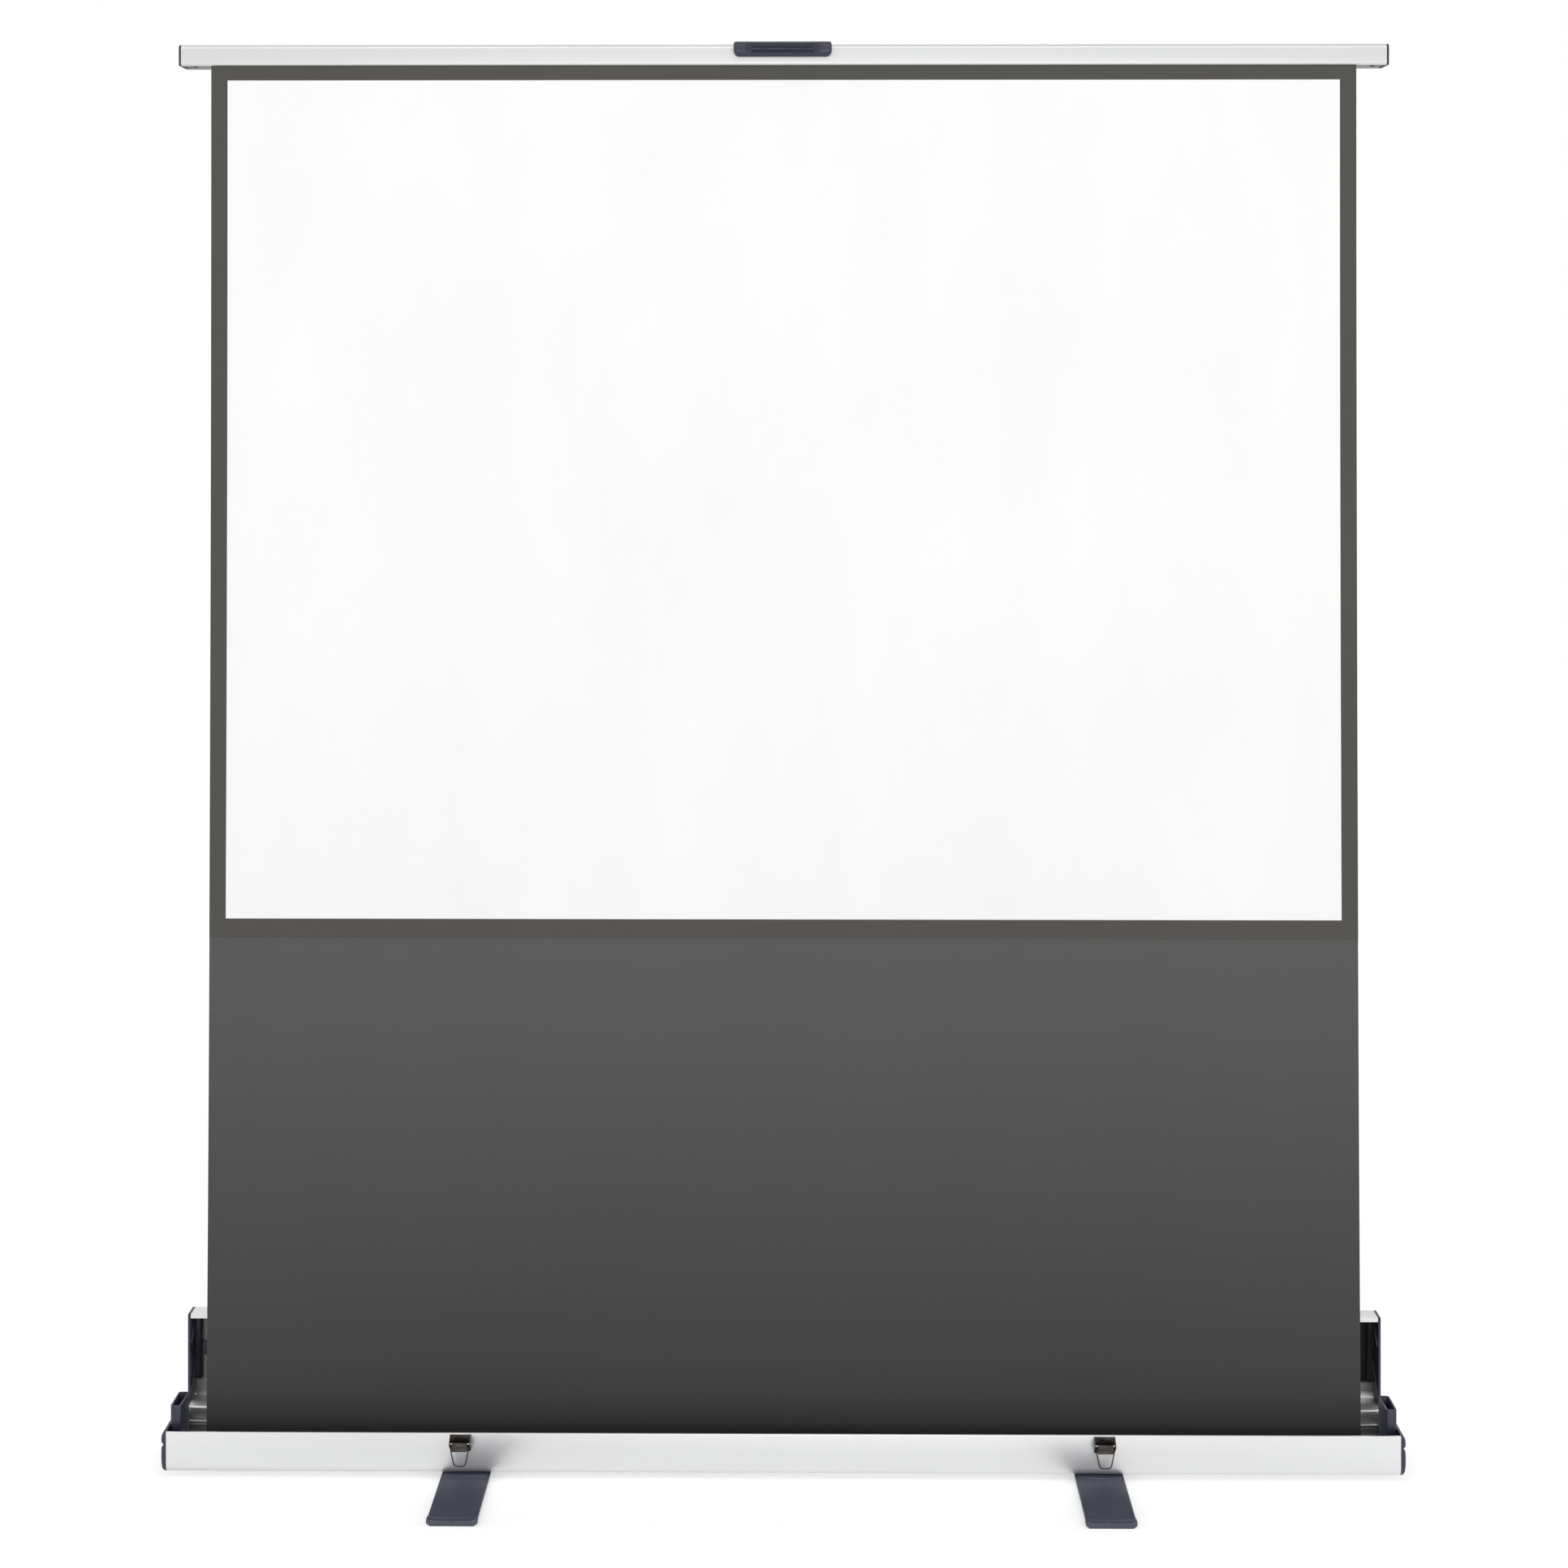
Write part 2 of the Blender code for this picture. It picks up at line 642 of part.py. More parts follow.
def roller():
    half = ROLLER_HALF
    inner = ROLLER_RADIUS - ROLLER_WALL
    centre = (0, ROLLER_Y, ROLLER_Z)
    ring = [(ROLLER_RADIUS, half), (ROLLER_RADIUS, -half), (inner, -half), (inner, half)]
    turned("roller_tube", ring, "X", centre, aluminium(), FINE_SIDES)
    wrap_in = ROLLER_RADIUS + SEAT_GAP
    wrap_out = wrap_in + WRAP_THICKNESS
    wide = FABRIC_WIDTH / 2
    wraps = [(wrap_out, wide), (wrap_out, -wide), (wrap_in, -wide), (wrap_in, wide)]
    turned("fabric_roll", wraps, "X", centre, black_fabric(), FINE_SIDES)
    tip = BLOCK_INNER + IDLE_PIN_SEAT
    plug = inner - SEAT_GAP
    idle = [(0, tip), (IDLE_PIN_RADIUS, tip), (IDLE_PIN_RADIUS, half + PLUG_RIM)]
    idle += [(ROLLER_RADIUS, half + PLUG_RIM), (ROLLER_RADIUS, half + SEAT_GAP)]
    idle += [(plug, half + SEAT_GAP), (plug, half - PLUG_LENGTH), (0, half - PLUG_LENGTH)]
    turned_outwards("roller_idle_plug", idle, -1, ROLLER_Y, ROLLER_Z, black_plastic())
    bore = IDLE_PIN_RADIUS + SEAT_GAP
    drive = [(ROLLER_RADIUS, half + PLUG_RIM), (ROLLER_RADIUS, half + SEAT_GAP)]
    drive += [(plug, half + SEAT_GAP), (plug, half - PLUG_LENGTH)]
    drive += [(bore, half - PLUG_LENGTH), (bore, half + PLUG_RIM)]
    turned_outwards("roller_drive_plug", drive, 1, ROLLER_Y, ROLLER_Z, black_plastic())
    spring_out = half - PLUG_LENGTH - SEAT_GAP / 2
    spring_in = spring_out - ROLLER_SPRING_LENGTH
    collar = inner - RUNNING_GAP
    collar_out = spring_in - ROLLER_SPRING_WIRE
    shaft = [(0, tip), (IDLE_PIN_RADIUS, tip), (IDLE_PIN_RADIUS, collar_out), (collar, collar_out)]
    shaft += [(collar, collar_out - SPRING_SEAT_LENGTH), (0, collar_out - SPRING_SEAT_LENGTH)]
    turned_outwards("roller_spring_shaft", shaft, 1, ROLLER_Y, ROLLER_Z, steel())
    steps = ROLLER_SPRING_TURNS * TURN_POINTS
    coil = []
    for i in range(steps + 1):
        turn = 2 * math.pi * i / TURN_POINTS
        x = spring_in + ROLLER_SPRING_WIRE / 2 + (ROLLER_SPRING_LENGTH - ROLLER_SPRING_WIRE) * i / steps
        y = ROLLER_Y + ROLLER_SPRING_RADIUS * math.cos(turn)
        coil.append((x, y, ROLLER_Z + ROLLER_SPRING_RADIUS * math.sin(turn)))
    wire("roller_spring", coil, ROLLER_SPRING_WIRE / 2, steel(), 0)


def fabric_y(z):
    """How far back the fabric hangs at a height: it leans slightly from the roller to the bar's slot."""
    low = ROLLER_Y + ROLLER_RADIUS + 2 * SEAT_GAP + WRAP_THICKNESS
    high = BAR_FRONT + SLOT_BOSS_RADIUS - FABRIC_THICKNESS / 2
    return low + (high - low) * (z - ROLLER_Z) / (BAR_BOTTOM - ROLLER_Z)


def fabric_sheet(name, low, high, finish):
    corners = [(fabric_y(low), low), (fabric_y(low) + FABRIC_THICKNESS, low)]
    corners += [(fabric_y(high) + FABRIC_THICKNESS, high), (fabric_y(high), high)]
    prism(name, corners, "YZ", -FABRIC_WIDTH / 2, FABRIC_WIDTH / 2, finish)


def fabric():
    fabric_sheet("skirt_fabric", ROLLER_Z, SEAM_HEIGHT, black_fabric())
    slot_floor = BAR_BOTTOM + SLOT_BOSS_RADIUS - HEM_ROD_RADIUS
    fabric_sheet("image_fabric", SEAM_HEIGHT + SEAT_GAP, slot_floor - SEAT_GAP, white_fabric())


def arm_points(side):
    """Base pivot, elbow and top pivot of the pair of arms that stands on one side of the middle."""
    base = Vector((side * BASE_PIVOT_X, BASE_PIVOT_Z))
    reach = Vector((-side * math.sin(ARM_LEAN), math.cos(ARM_LEAN))) * ARM_LENGTH
    elbow = base + reach
    return base, elbow, Vector((base.x, TOP_PIVOT_Z))


def arm(name, start, end, front, opens_forward):
    """A pressed channel arm with round ends, a hole at each end and a hollow along one face."""
    outline = stadium(start.x, start.y, end.x, end.y, ARM_WIDTH / 2)
    hole = PIVOT_RADIUS + SEAT_GAP
    holes = (circle(start.x, start.y, hole), circle(end.x, end.y, hole))
    body = prism(name, outline, "XZ", front, front + ARM_THICKNESS, arm_paint(), holes)
    along = (end - start).normalized() * (ARM_WIDTH + PIVOT_HEAD_RADIUS)
    near, far = start + along, end - along
    hollow = stadium(near.x, near.y, far.x, far.y, ARM_WIDTH / 2 - ARM_FLANGE)
    if opens_forward:
        low, high = front - OVERRUN, front + ARM_THICKNESS - ARM_WEB
    else:
        low, high = front + ARM_WEB, front + ARM_THICKNESS + OVERRUN
    cut(body, prism(name + "_hollow", hollow, "XZ", low, high))


def pivot_pin(name, x, z, front, rear, heads, finish):
    """A pin along Y from one face to another, with a flat head at each end that is asked for."""
    profile = [(0, rear), (PIVOT_RADIUS, rear)]
    if "rear" in heads:
        profile = [(0, rear + PIVOT_HEAD), (PIVOT_HEAD_RADIUS, rear + PIVOT_HEAD)]
        profile += [(PIVOT_HEAD_RADIUS, rear), (PIVOT_RADIUS, rear)]
    if "front" in heads:
        profile += [(PIVOT_RADIUS, front), (PIVOT_HEAD_RADIUS, front)]
        profile += [(PIVOT_HEAD_RADIUS, front - PIVOT_HEAD), (0, front - PIVOT_HEAD)]
    else:
        profile += [(PIVOT_RADIUS, front), (0, front)]
    turned(name, profile, "Y", (x, 0, z), finish)


def arms():
    for side, label, lower, upper in ((-1, "left", 0, 1), (1, "right", 3, 2)):
        base, elbow, top = arm_points(side)
        forward = lower < upper
        arm("lower_arm_" + label, base, elbow, layer(lower), forward)
        arm("upper_arm_" + label, elbow, top, layer(upper), not forward)
        front = layer(min(lower, upper))
        rear = layer(max(lower, upper)) + ARM_THICKNESS
        name = "elbow_pin_" + label
        if forward:
            pivot_pin(name, elbow.x, elbow.y, front - SEAT_GAP, rear - SEAT_GAP, ("front",), steel())
        else:
            pivot_pin(name, elbow.x, elbow.y, front + SEAT_GAP, rear + SEAT_GAP, ("rear",), steel())


def spring_room():
    return (ARM_SPRING_TURNS + 1) * ARM_SPRING_WIRE + 2 * RUNNING_GAP


def ear_places(side):
    """The front faces of the two ears of a base bracket, one beside the arm and one past the spring."""
    if side < 0:
        arm_front = layer(0)
        near = arm_front - RUNNING_GAP - EAR_THICKNESS
        return near, arm_front + ARM_THICKNESS + spring_room()
    arm_front = layer(3)
    return arm_front - spring_room() - EAR_THICKNESS, arm_front + ARM_THICKNESS + RUNNING_GAP


def base_bracket(side, label):
    name = "base_bracket_" + label
    x = side * BASE_PIVOT_X
    first, second = ear_places(side)
    low = CASE_FLOOR + SEAT_GAP
    half = BRACKET_LENGTH / 2
    base_top = low + BRACKET_BASE
    body = box(name, (x - half, first, low), (x + half, second + EAR_THICKNESS, base_top), steel())
    hole = circle(x, BASE_PIVOT_Z, PIVOT_RADIUS + SEAT_GAP)
    ear = rounded(
        [
            (x - half * EAR_FOOT_SHARE, low, 0),
            (x + half * EAR_FOOT_SHARE, low, 0),
            (x + EAR_RADIUS, BASE_PIVOT_Z + EAR_RADIUS, EAR_RADIUS * EAR_ROUND_SHARE),
            (x - EAR_RADIUS, BASE_PIVOT_Z + EAR_RADIUS, EAR_RADIUS * EAR_ROUND_SHARE),
        ]
    )
    for number, front in enumerate((first, second)):
        join(body, prism(f"{name}_ear_{number}", ear, "XZ", front, front + EAR_THICKNESS, None, (hole,)))
    ends = (first - SEAT_GAP, second + EAR_THICKNESS + SEAT_GAP)
    pivot_pin("base_pin_" + label, x, BASE_PIVOT_Z, *ends, ("front", "rear"), steel())


def arm_spring(side, label):
    """A torsion spring round the base pin: one leg up the lower arm, the other along the bracket."""
    base, elbow, _ = arm_points(side)
    along = (elbow - base).normalized()
    square = Vector((along.y, -along.x)) * side
    room = ARM_SPRING_TURNS * ARM_SPRING_WIRE
    if side < 0:
        first = layer(0) + ARM_THICKNESS + RUNNING_GAP + ARM_SPRING_WIRE / 2
        drift = room
    else:
        first = layer(3) - RUNNING_GAP - ARM_SPRING_WIRE / 2
        drift = -room
    steps = ARM_SPRING_TURNS * TURN_POINTS
    start = math.atan2(square.y, square.x)
    level = -math.pi / 2
    turn = 2 * math.pi * ARM_SPRING_TURNS + side * (start - level) % (2 * math.pi)
    points = [base + square * ARM_SPRING_RADIUS + along * ARM_SPRING_LEG]
    points = [(points[0].x, first, points[0].y)]
    for i in range(steps + 1):
        angle = start - side * turn * i / steps
        x = base.x + ARM_SPRING_RADIUS * math.cos(angle)
        z = base.y + ARM_SPRING_RADIUS * math.sin(angle)
        points.append((x, first + drift * i / steps, z))
    last = points[-1]
    points.append((last[0] + side * BRACKET_LENGTH / 2, last[1], last[2]))
    wire("arm_spring_" + label, points, ARM_SPRING_WIRE / 2, steel(), 0)


def bar_outline(inset=0.0):
    front, rear = BAR_FRONT + inset, BAR_REAR - inset
    low, high = BAR_BOTTOM + inset, BAR_BOTTOM + BAR_HEIGHT - inset
    return [
        (front, low, BAR_REAR_RADIUS),
        (front, high, BAR_FRONT_RADIUS),
        (rear, high, BAR_REAR_RADIUS),
        (rear, low, BAR_REAR_RADIUS),
    ]


def top_bar():
    half = BAR_HALF - BAR_CAP_THICKNESS - SEAT_GAP
    front, rear = BAR_FRONT, BAR_REAR
    low, high = BAR_BOTTOM, BAR_BOTTOM + BAR_HEIGHT
    wall = BAR_WALL
    edge = BAR_WALL / 3
    corners = [(front, low, edge), (front, high, BAR_FRONT_RADIUS), (rear, high, BAR_REAR_RADIUS)]
    corners += [(rear, low, edge), (rear - wall, low, edge)]
    corners += [(rear - wall, high - wall, BAR_REAR_RADIUS - wall)]
    corners += [(front + wall, high - wall, BAR_FRONT_RADIUS - wall), (front + wall, low, edge)]
    bar = prism("top_bar", rounded(corners), "YZ", -half, half, aluminium())
    slot_y, slot_z = front + SLOT_BOSS_RADIUS, low + SLOT_BOSS_RADIUS
    inner = half - SEAT_GAP
    join(bar, prism("slot_boss", circle(slot_y, slot_z, SLOT_BOSS_RADIUS), "YZ", -inner, inner))
    bore = prism("slot_bore", circle(slot_y, slot_z, SLOT_RADIUS, 16), "YZ", -half - OVERRUN, half + OVERRUN)
    mouth_low = (-half - OVERRUN, slot_y - SLOT_MOUTH / 2, low - OVERRUN)
    mouth = box("slot_mouth", mouth_low, (half + OVERRUN, slot_y + SLOT_MOUTH / 2, slot_z))
    cut(bar, bore, mouth)
    reach = FABRIC_WIDTH / 2
    rod("hem_rod", HEM_ROD_RADIUS, "X", (0, slot_y, slot_z), -reach, reach, steel(), PIN_SIDES)
    for side, label in SIDES:
        name = "bar_cap_" + label
        outline = rounded(bar_outline())
        x0, x1 = span(side, BAR_HALF - BAR_CAP_THICKNESS, BAR_HALF)
        cap = prism(name, outline, "YZ", x0, x1, navy())
        edge_in = BAR_WALL + SEAT_GAP
        plug_low = (front + 2 * SLOT_BOSS_RADIUS + SEAT_GAP, BAR_BOTTOM + edge_in)
        plug_high = (rear - edge_in, high - edge_in)
        plug = rectangle(*plug_low, *plug_high, BAR_REAR_RADIUS - BAR_WALL)
        p0, p1 = span(side, half - 4 * BAR_CAP_THICKNESS, BAR_HALF - BAR_CAP_THICKNESS / 2)
        join(cap, prism(name + "_plug", plug, "YZ", p0, p1))


def top_bracket(side, label):
    """A hanger screwed under the bar's ceiling, with one ear beside its upper arm."""
    name = "top_bracket_" + label
    x = side * BASE_PIVOT_X
    ceiling = BAR_BOTTOM + BAR_HEIGHT - BAR_WALL - SEAT_GAP
    half = BRACKET_LENGTH / 2
    if side < 0:
        arm_front = layer(1)
        ear_front = arm_front - RUNNING_GAP - EAR_THICKNESS
        flange = (BAR_FRONT + BAR_FRONT_RADIUS + BAR_WALL, ear_front + EAR_THICKNESS)
    else:
        arm_front = layer(2)
        ear_front = arm_front + ARM_THICKNESS + RUNNING_GAP
        flange = (ear_front, BAR_REAR - BAR_REAR_RADIUS - BAR_WALL)
    low = ceiling - BRACKET_BASE
    body = box(name, (x - half, flange[0], low), (x + half, flange[1], ceiling), steel())
    hole = circle(x, TOP_PIVOT_Z, PIVOT_RADIUS + SEAT_GAP)
    ear_low = TOP_PIVOT_Z - EAR_RADIUS * EAR_ROUND_SHARE
    ear = rounded(
        [
            (x - half * EAR_FOOT_SHARE, ceiling, 0),
            (x - EAR_RADIUS, ear_low, EAR_RADIUS * EAR_FOOT_SHARE),
            (x + EAR_RADIUS, ear_low, EAR_RADIUS * EAR_FOOT_SHARE),
            (x + half * EAR_FOOT_SHARE, ceiling, 0),
        ]
    )
    join(body, prism(name + "_ear", ear, "XZ", ear_front, ear_front + EAR_THICKNESS, None, (hole,)))
    if side < 0:
        ends = (ear_front - SEAT_GAP, arm_front + ARM_THICKNESS + SEAT_GAP)
    else:
        ends = (arm_front - SEAT_GAP, ear_front + EAR_THICKNESS + SEAT_GAP)
    pivot_pin("top_pin_" + label, x, TOP_PIVOT_Z, *ends, ("front", "rear"), steel())


def pull_handle():
    """A moulded grip that hooks over the bar's upper edge, with a finger groove between two humps."""
    bar_top = BAR_BOTTOM + BAR_HEIGHT
    top = bar_top + HANDLE_RISE
    low = top - HANDLE_HEIGHT
    face = BAR_FRONT - HANDLE_DEPTH
    back = BAR_FRONT - SEAT_GAP
    section = rounded(
        [
            (back, low, HANDLE_RISE / 3),
            (face, low, HANDLE_DEPTH * HANDLE_ROUND_SHARE),
            (face, top, HANDLE_DEPTH * HANDLE_ROUND_SHARE),
            (BAR_FRONT + HANDLE_LIP, top, HANDLE_RISE / 2),
            (BAR_FRONT + HANDLE_LIP, bar_top + SEAT_GAP, 0),
            (back, bar_top + SEAT_GAP, 0),
        ]
    )
    half = HANDLE_LENGTH / 2
    handle = prism("pull_handle", section, "YZ", -half, half, navy())
    front_view = rounded(
        [
            (-half, low, HANDLE_END_RADIUS),
            (half, low, HANDLE_END_RADIUS),
            (half, top, HANDLE_END_RADIUS / 2),
            (-half, top, HANDLE_END_RADIUS / 2),
        ]
    )
    combine(handle, "INTERSECT", [prism("handle_view", front_view, "XZ", face - OVERRUN, BAR_REAR)])
    grip = GRIP_LENGTH / 2
    groove = [(0, grip), (GRIP_DEPTH, grip - GRIP_SLANT), (GRIP_DEPTH, GRIP_SLANT - grip), (0, -grip)]
    cut(handle, turned("finger_groove", groove, "X", (0, face, (low + top) / 2)))


def opened(points):
    """Turns a profile drawn for the closed lid back about the hinge to where the open lid stands."""
    return [(HINGE_Y + (z - HINGE_HEIGHT), HINGE_HEIGHT - (y - HINGE_Y)) for y, z in points]


def lid_low():
    return FRONT_WALL_TOP + LID_LIP_GAP


def lid_ceiling():
    return LID_TOP - LID_WALL


def lid_outline():
    front, rear = -DEPTH_HALF, DEPTH_HALF
    inner_rear = rear - LID_WALL
    outer_join = math.acos((rear - HINGE_Y) / CLAW_OUTER)
    inner_join = math.acos((inner_rear - HINGE_Y) / CLAW_OUTER)
    clear = 2 * math.asin(BEAD_NECK / 2 / CLAW_INNER)
    first, last = clear, 3 * math.pi / 2 - clear
    low, ceiling = lid_low(), lid_ceiling()
    step = LID_STEP_DEPTH
    corners = [(front, low, LID_WALL / 3), (front, LID_TOP, LID_FRONT_RADIUS)]
    corners += [(rear, LID_TOP, LID_REAR_RADIUS)]
    corners += sharp(arc(HINGE_Y, HINGE_HEIGHT, CLAW_OUTER, outer_join, first))
    corners += sharp(arc(HINGE_Y, HINGE_HEIGHT, CLAW_INNER, first, last))
    corners += sharp(arc(HINGE_Y, HINGE_HEIGHT, CLAW_OUTER, last, inner_join))
    bulge_low, bulge_high = HINGE_HEIGHT + LID_BULGE_LOW, HINGE_HEIGHT + LID_BULGE_HIGH
    bulge = bulge_high - bulge_low
    corners += [(inner_rear, bulge_low, 0)]
    corners += [(inner_rear - LID_BULGE_HEIGHT, bulge_low + bulge / 3, bulge / 3)]
    corners += [(inner_rear - LID_BULGE_HEIGHT, bulge_high - bulge / 3, bulge / 3)]
    corners += [(inner_rear, bulge_high, 0), (inner_rear, ceiling - 2 * step, 0)]
    corners += [(inner_rear - 2 * step, ceiling - 2 * step, step)]
    mid = inner_rear - LID_STEP_WIDTH / 2
    corners += [(mid, ceiling - 2 * step, step / 3), (mid, ceiling - step, step / 3)]
    corners += [(inner_rear - LID_STEP_WIDTH, ceiling - step, step / 3)]
    corners += [(inner_rear - LID_STEP_WIDTH, ceiling, step / 3)]
    corners += [(front + LID_WALL, ceiling, LID_FRONT_RADIUS - LID_WALL)]
    corners += [(front + LID_WALL, low + LID_LIP_RETURN, 0)]
    corners += [(front + LID_LIP_WIDTH, low + LID_LIP_RETURN, LID_WALL / 3)]
    corners += [(front + LID_LIP_WIDTH, low, LID_WALL / 3)]
    return rounded(corners)


def lid_cover():
    prism("lid_cover", opened(lid_outline()), "YZ", -LID_HALF, LID_HALF, aluminium())


def lid_cap(side, label):
    """The lid's end plate, with a spigot under the ceiling, crossed ribs and a bead at the lip."""
    name = "lid_cap_" + label
    front, rear = -DEPTH_HALF, DEPTH_HALF
    low, ceiling = lid_low(), lid_ceiling() - SEAT_GAP
    face = LID_HALF + SEAT_GAP
    outer = face + LID_CAP_THICKNESS
    heel = HINGE_HEIGHT + CLAW_OUTER + LID_WALL
    step = HINGE_Y - CLAW_OUTER
    outline = rounded(
        [
            (front, low, LID_WALL),
            (front, LID_TOP, LID_FRONT_RADIUS),
            (rear, LID_TOP, LID_REAR_RADIUS),
            (rear, heel, LID_WALL / 2),
            (step, heel, LID_WALL / 2),
            (step, low, LID_WALL / 2),
        ]
    )
    plate = prism(name, opened(outline), "YZ", *span(side, face, outer), navy())
    y0, y1 = front + LID_FRONT_RADIUS, rear - LID_WALL - LID_STEP_WIDTH - LID_STEP_DEPTH
    z0 = ceiling - LID_SPIGOT_HEIGHT
    frame = opened(rectangle(y0, z0, y1, ceiling, LID_WALL / 2))
    hollow_low = (y0 + LID_RIB, z0 + LID_RIB)
    hollow = opened(rectangle(*hollow_low, y1 - LID_RIB, ceiling - LID_RIB, LID_WALL / 3))
    reach = span(side, LID_HALF - LID_SPIGOT_DEPTH, face + LID_CAP_THICKNESS / 2)
    join(plate, prism(name + "_spigot", frame, "YZ", *reach, None, (hollow,)))
    rib_face = span(side, CASE_HALF + RUNNING_GAP, face + LID_CAP_THICKNESS / 2)
    bottom, top = low + LID_WALL, z0 + LID_RIB
    bays = 3
    bay = (y1 - y0) / bays
    for number in range(bays):
        start = y0 + number * bay
        lean = (bottom, top) if number % 2 else (top, bottom)
        rib = stadium(start, lean[0], start + bay, lean[1], LID_RIB / 2)
        join(plate, prism(f"{name}_rib_{number}", opened(rib), "YZ", *rib_face))
    bead = opened([(front + LID_WALL, low + LID_WALL)])[0]
    bead_at = (0, *bead)
    bead_low, bead_high = span(side, face + LID_CAP_THICKNESS / 3, CAP_FACE)
    join(plate, rod(name + "_bead", LID_BEAD_RADIUS, "X", bead_at, bead_low, bead_high, None, PIN_SIDES))
    if side < 0:
        low = (LID_TONGUE_Y, ceiling - LID_TONGUE_THICKNESS)
        high = (LID_TONGUE_Y + LID_TONGUE_WIDTH, ceiling - SEAT_GAP)
        length = span(side, LID_HALF - LID_TONGUE_LENGTH, face + LID_CAP_THICKNESS / 2)
        join(plate, prism(name + "_tongue", opened(rectangle(*low, *high)), "YZ", *length))


def lid_pad():
    """A foam pad at the lid's right end that the raised parts close against."""
    ceiling = lid_ceiling() - SEAT_GAP
    face = LID_HALF - LID_SPIGOT_DEPTH - RUNNING_GAP
    front = -DEPTH_HALF + LID_FRONT_RADIUS
    rear = DEPTH_HALF - LID_WALL - LID_STEP_WIDTH - LID_STEP_DEPTH
    outline = opened(rectangle(front, ceiling - LID_PAD_THICKNESS, rear, ceiling, LID_PAD_FLANGE))
    prism("lid_end_pad", outline, "YZ", face - LID_PAD_WIDTH, face, black_plastic())


def catch(side, label):
    """The hook on the lid's lip that the wire bail pulls on."""
    x = side * LATCH_SPACING / 2
    wall = -DEPTH_HALF - SEAT_GAP
    low = lid_low() + CATCH_HOOK
    high = low + CATCH_HEIGHT
    out = wall - CATCH_PLATE
    corners = [(wall, low, 0), (wall, high, 0), (out, high, CATCH_PLATE / 3)]
    corners += [(out, low + 2 * CATCH_PLATE, CATCH_PLATE / 2)]
    corners += [(out - CATCH_HOOK + CATCH_PLATE, low + 2 * CATCH_PLATE, CATCH_PLATE / 2)]
    corners += [(out - CATCH_HOOK + CATCH_PLATE, low + CATCH_HOOK, CATCH_PLATE / 3)]
    corners += [(out - CATCH_HOOK, low + CATCH_HOOK, CATCH_PLATE / 3), (out - CATCH_HOOK, low, CATCH_PLATE)]
    half = CATCH_WIDTH / 2
    prism("lid_catch_" + label, opened(rounded(corners)), "YZ", x - half, x + half, gunmetal())


def latch_pivot():
    wall = -DEPTH_HALF - SEAT_GAP - LATCH_PLATE
    return wall - LATCH_PIN_STANDOFF, LATCH_PLATE_TOP - LATCH_PIN_DROP


def latch_plate(side, label):
    name = "latch_plate_" + label
    x = side * LATCH_SPACING / 2
    half = LATCH_WIDTH / 2
    wall = -DEPTH_HALF - SEAT_GAP
    low = LATCH_PLATE_TOP - LATCH_PLATE_HEIGHT
    outline = rounded(
        [
            (x - half, low, LATCH_EAR_WALL * 2),
            (x + half, low, LATCH_EAR_WALL * 2),
            (x + half, LATCH_PLATE_TOP, 0),
            (x - half, LATCH_PLATE_TOP, 0),
        ]
    )
    plate = prism(name, outline, "XZ", wall - LATCH_PLATE, wall, gunmetal())
    pin_y, pin_z = latch_pivot()
    tip = wall - LATCH_PLATE - LATCH_EAR_DEPTH
    ear = rounded(
        [
            (wall, low + LATCH_EAR_WALL * 2, 0),
            (tip, pin_z - LATCH_EAR_DEPTH / 3, LATCH_EAR_DEPTH / 4),
            (tip, pin_z + LATCH_EAR_DEPTH / 3, LATCH_EAR_DEPTH / 4),
            (wall, LATCH_PLATE_TOP - LATCH_EAR_WALL / 2, 0),
        ]
    )
    hole = circle(pin_y, pin_z, LATCH_PIN_RADIUS + SEAT_GAP, PIN_SIDES)
    for edge in (-1, 1):
        e0, e1 = span(edge, half - LATCH_EAR_WALL, half)
        join(plate, prism(f"{name}_ear_{edge}", ear, "YZ", x + e0, x + e1, None, (hole,)))
    hem_high = LATCH_PLATE_TOP - LATCH_EAR_WALL
    hem_low = (x - LATCH_HEM_WIDTH / 2, wall - LATCH_PLATE - LATCH_HEM_DEPTH, hem_high - LATCH_HEM_HEIGHT)
    hem_corner = (x + LATCH_HEM_WIDTH / 2, wall - LATCH_PLATE / 2, hem_high)
    join(plate, box(name + "_hem", hem_low, hem_corner))
    reach = half + LATCH_EAR_WALL
    pin_at = (x, pin_y, pin_z)
    rod("latch_pin_" + label, LATCH_PIN_RADIUS, "X", pin_at, -reach, reach, steel(), PIN_SIDES)


def bail_pivot():
    pin_y, pin_z = latch_pivot()
    return pin_y - BAIL_PIVOT_OUT, pin_z - BAIL_PIVOT_DROP


LEVER_SHARES = (
    (0.22, 0.20, 0.18),
    (-0.20, 0.24, 0.18),
    (-0.46, -0.05, 0.16),
    (-0.46, -0.34, 0.10),
    (-0.64, -0.54, 0.04),
    (-0.57, -0.62, 0.04),
    (-0.36, -0.50, 0.06),
    (-0.14, -0.50, 0.10),
    (0.22, -0.22, 0.16),
)
LEVER_HOLLOW_SHARES = (
    (0.50, 0.50),
    (-0.08, 0.50),
    (-0.10, 0.18),
    (-0.36, -0.10),
    (-0.36, -0.70),
    (0.50, -0.70),
)


def bail_reach():
    """How far from the latch's middle the bail's legs run, just outside the lever's cheeks."""
    return LEVER_WIDTH / 2 + SEAT_GAP + BAIL_WIRE / 2


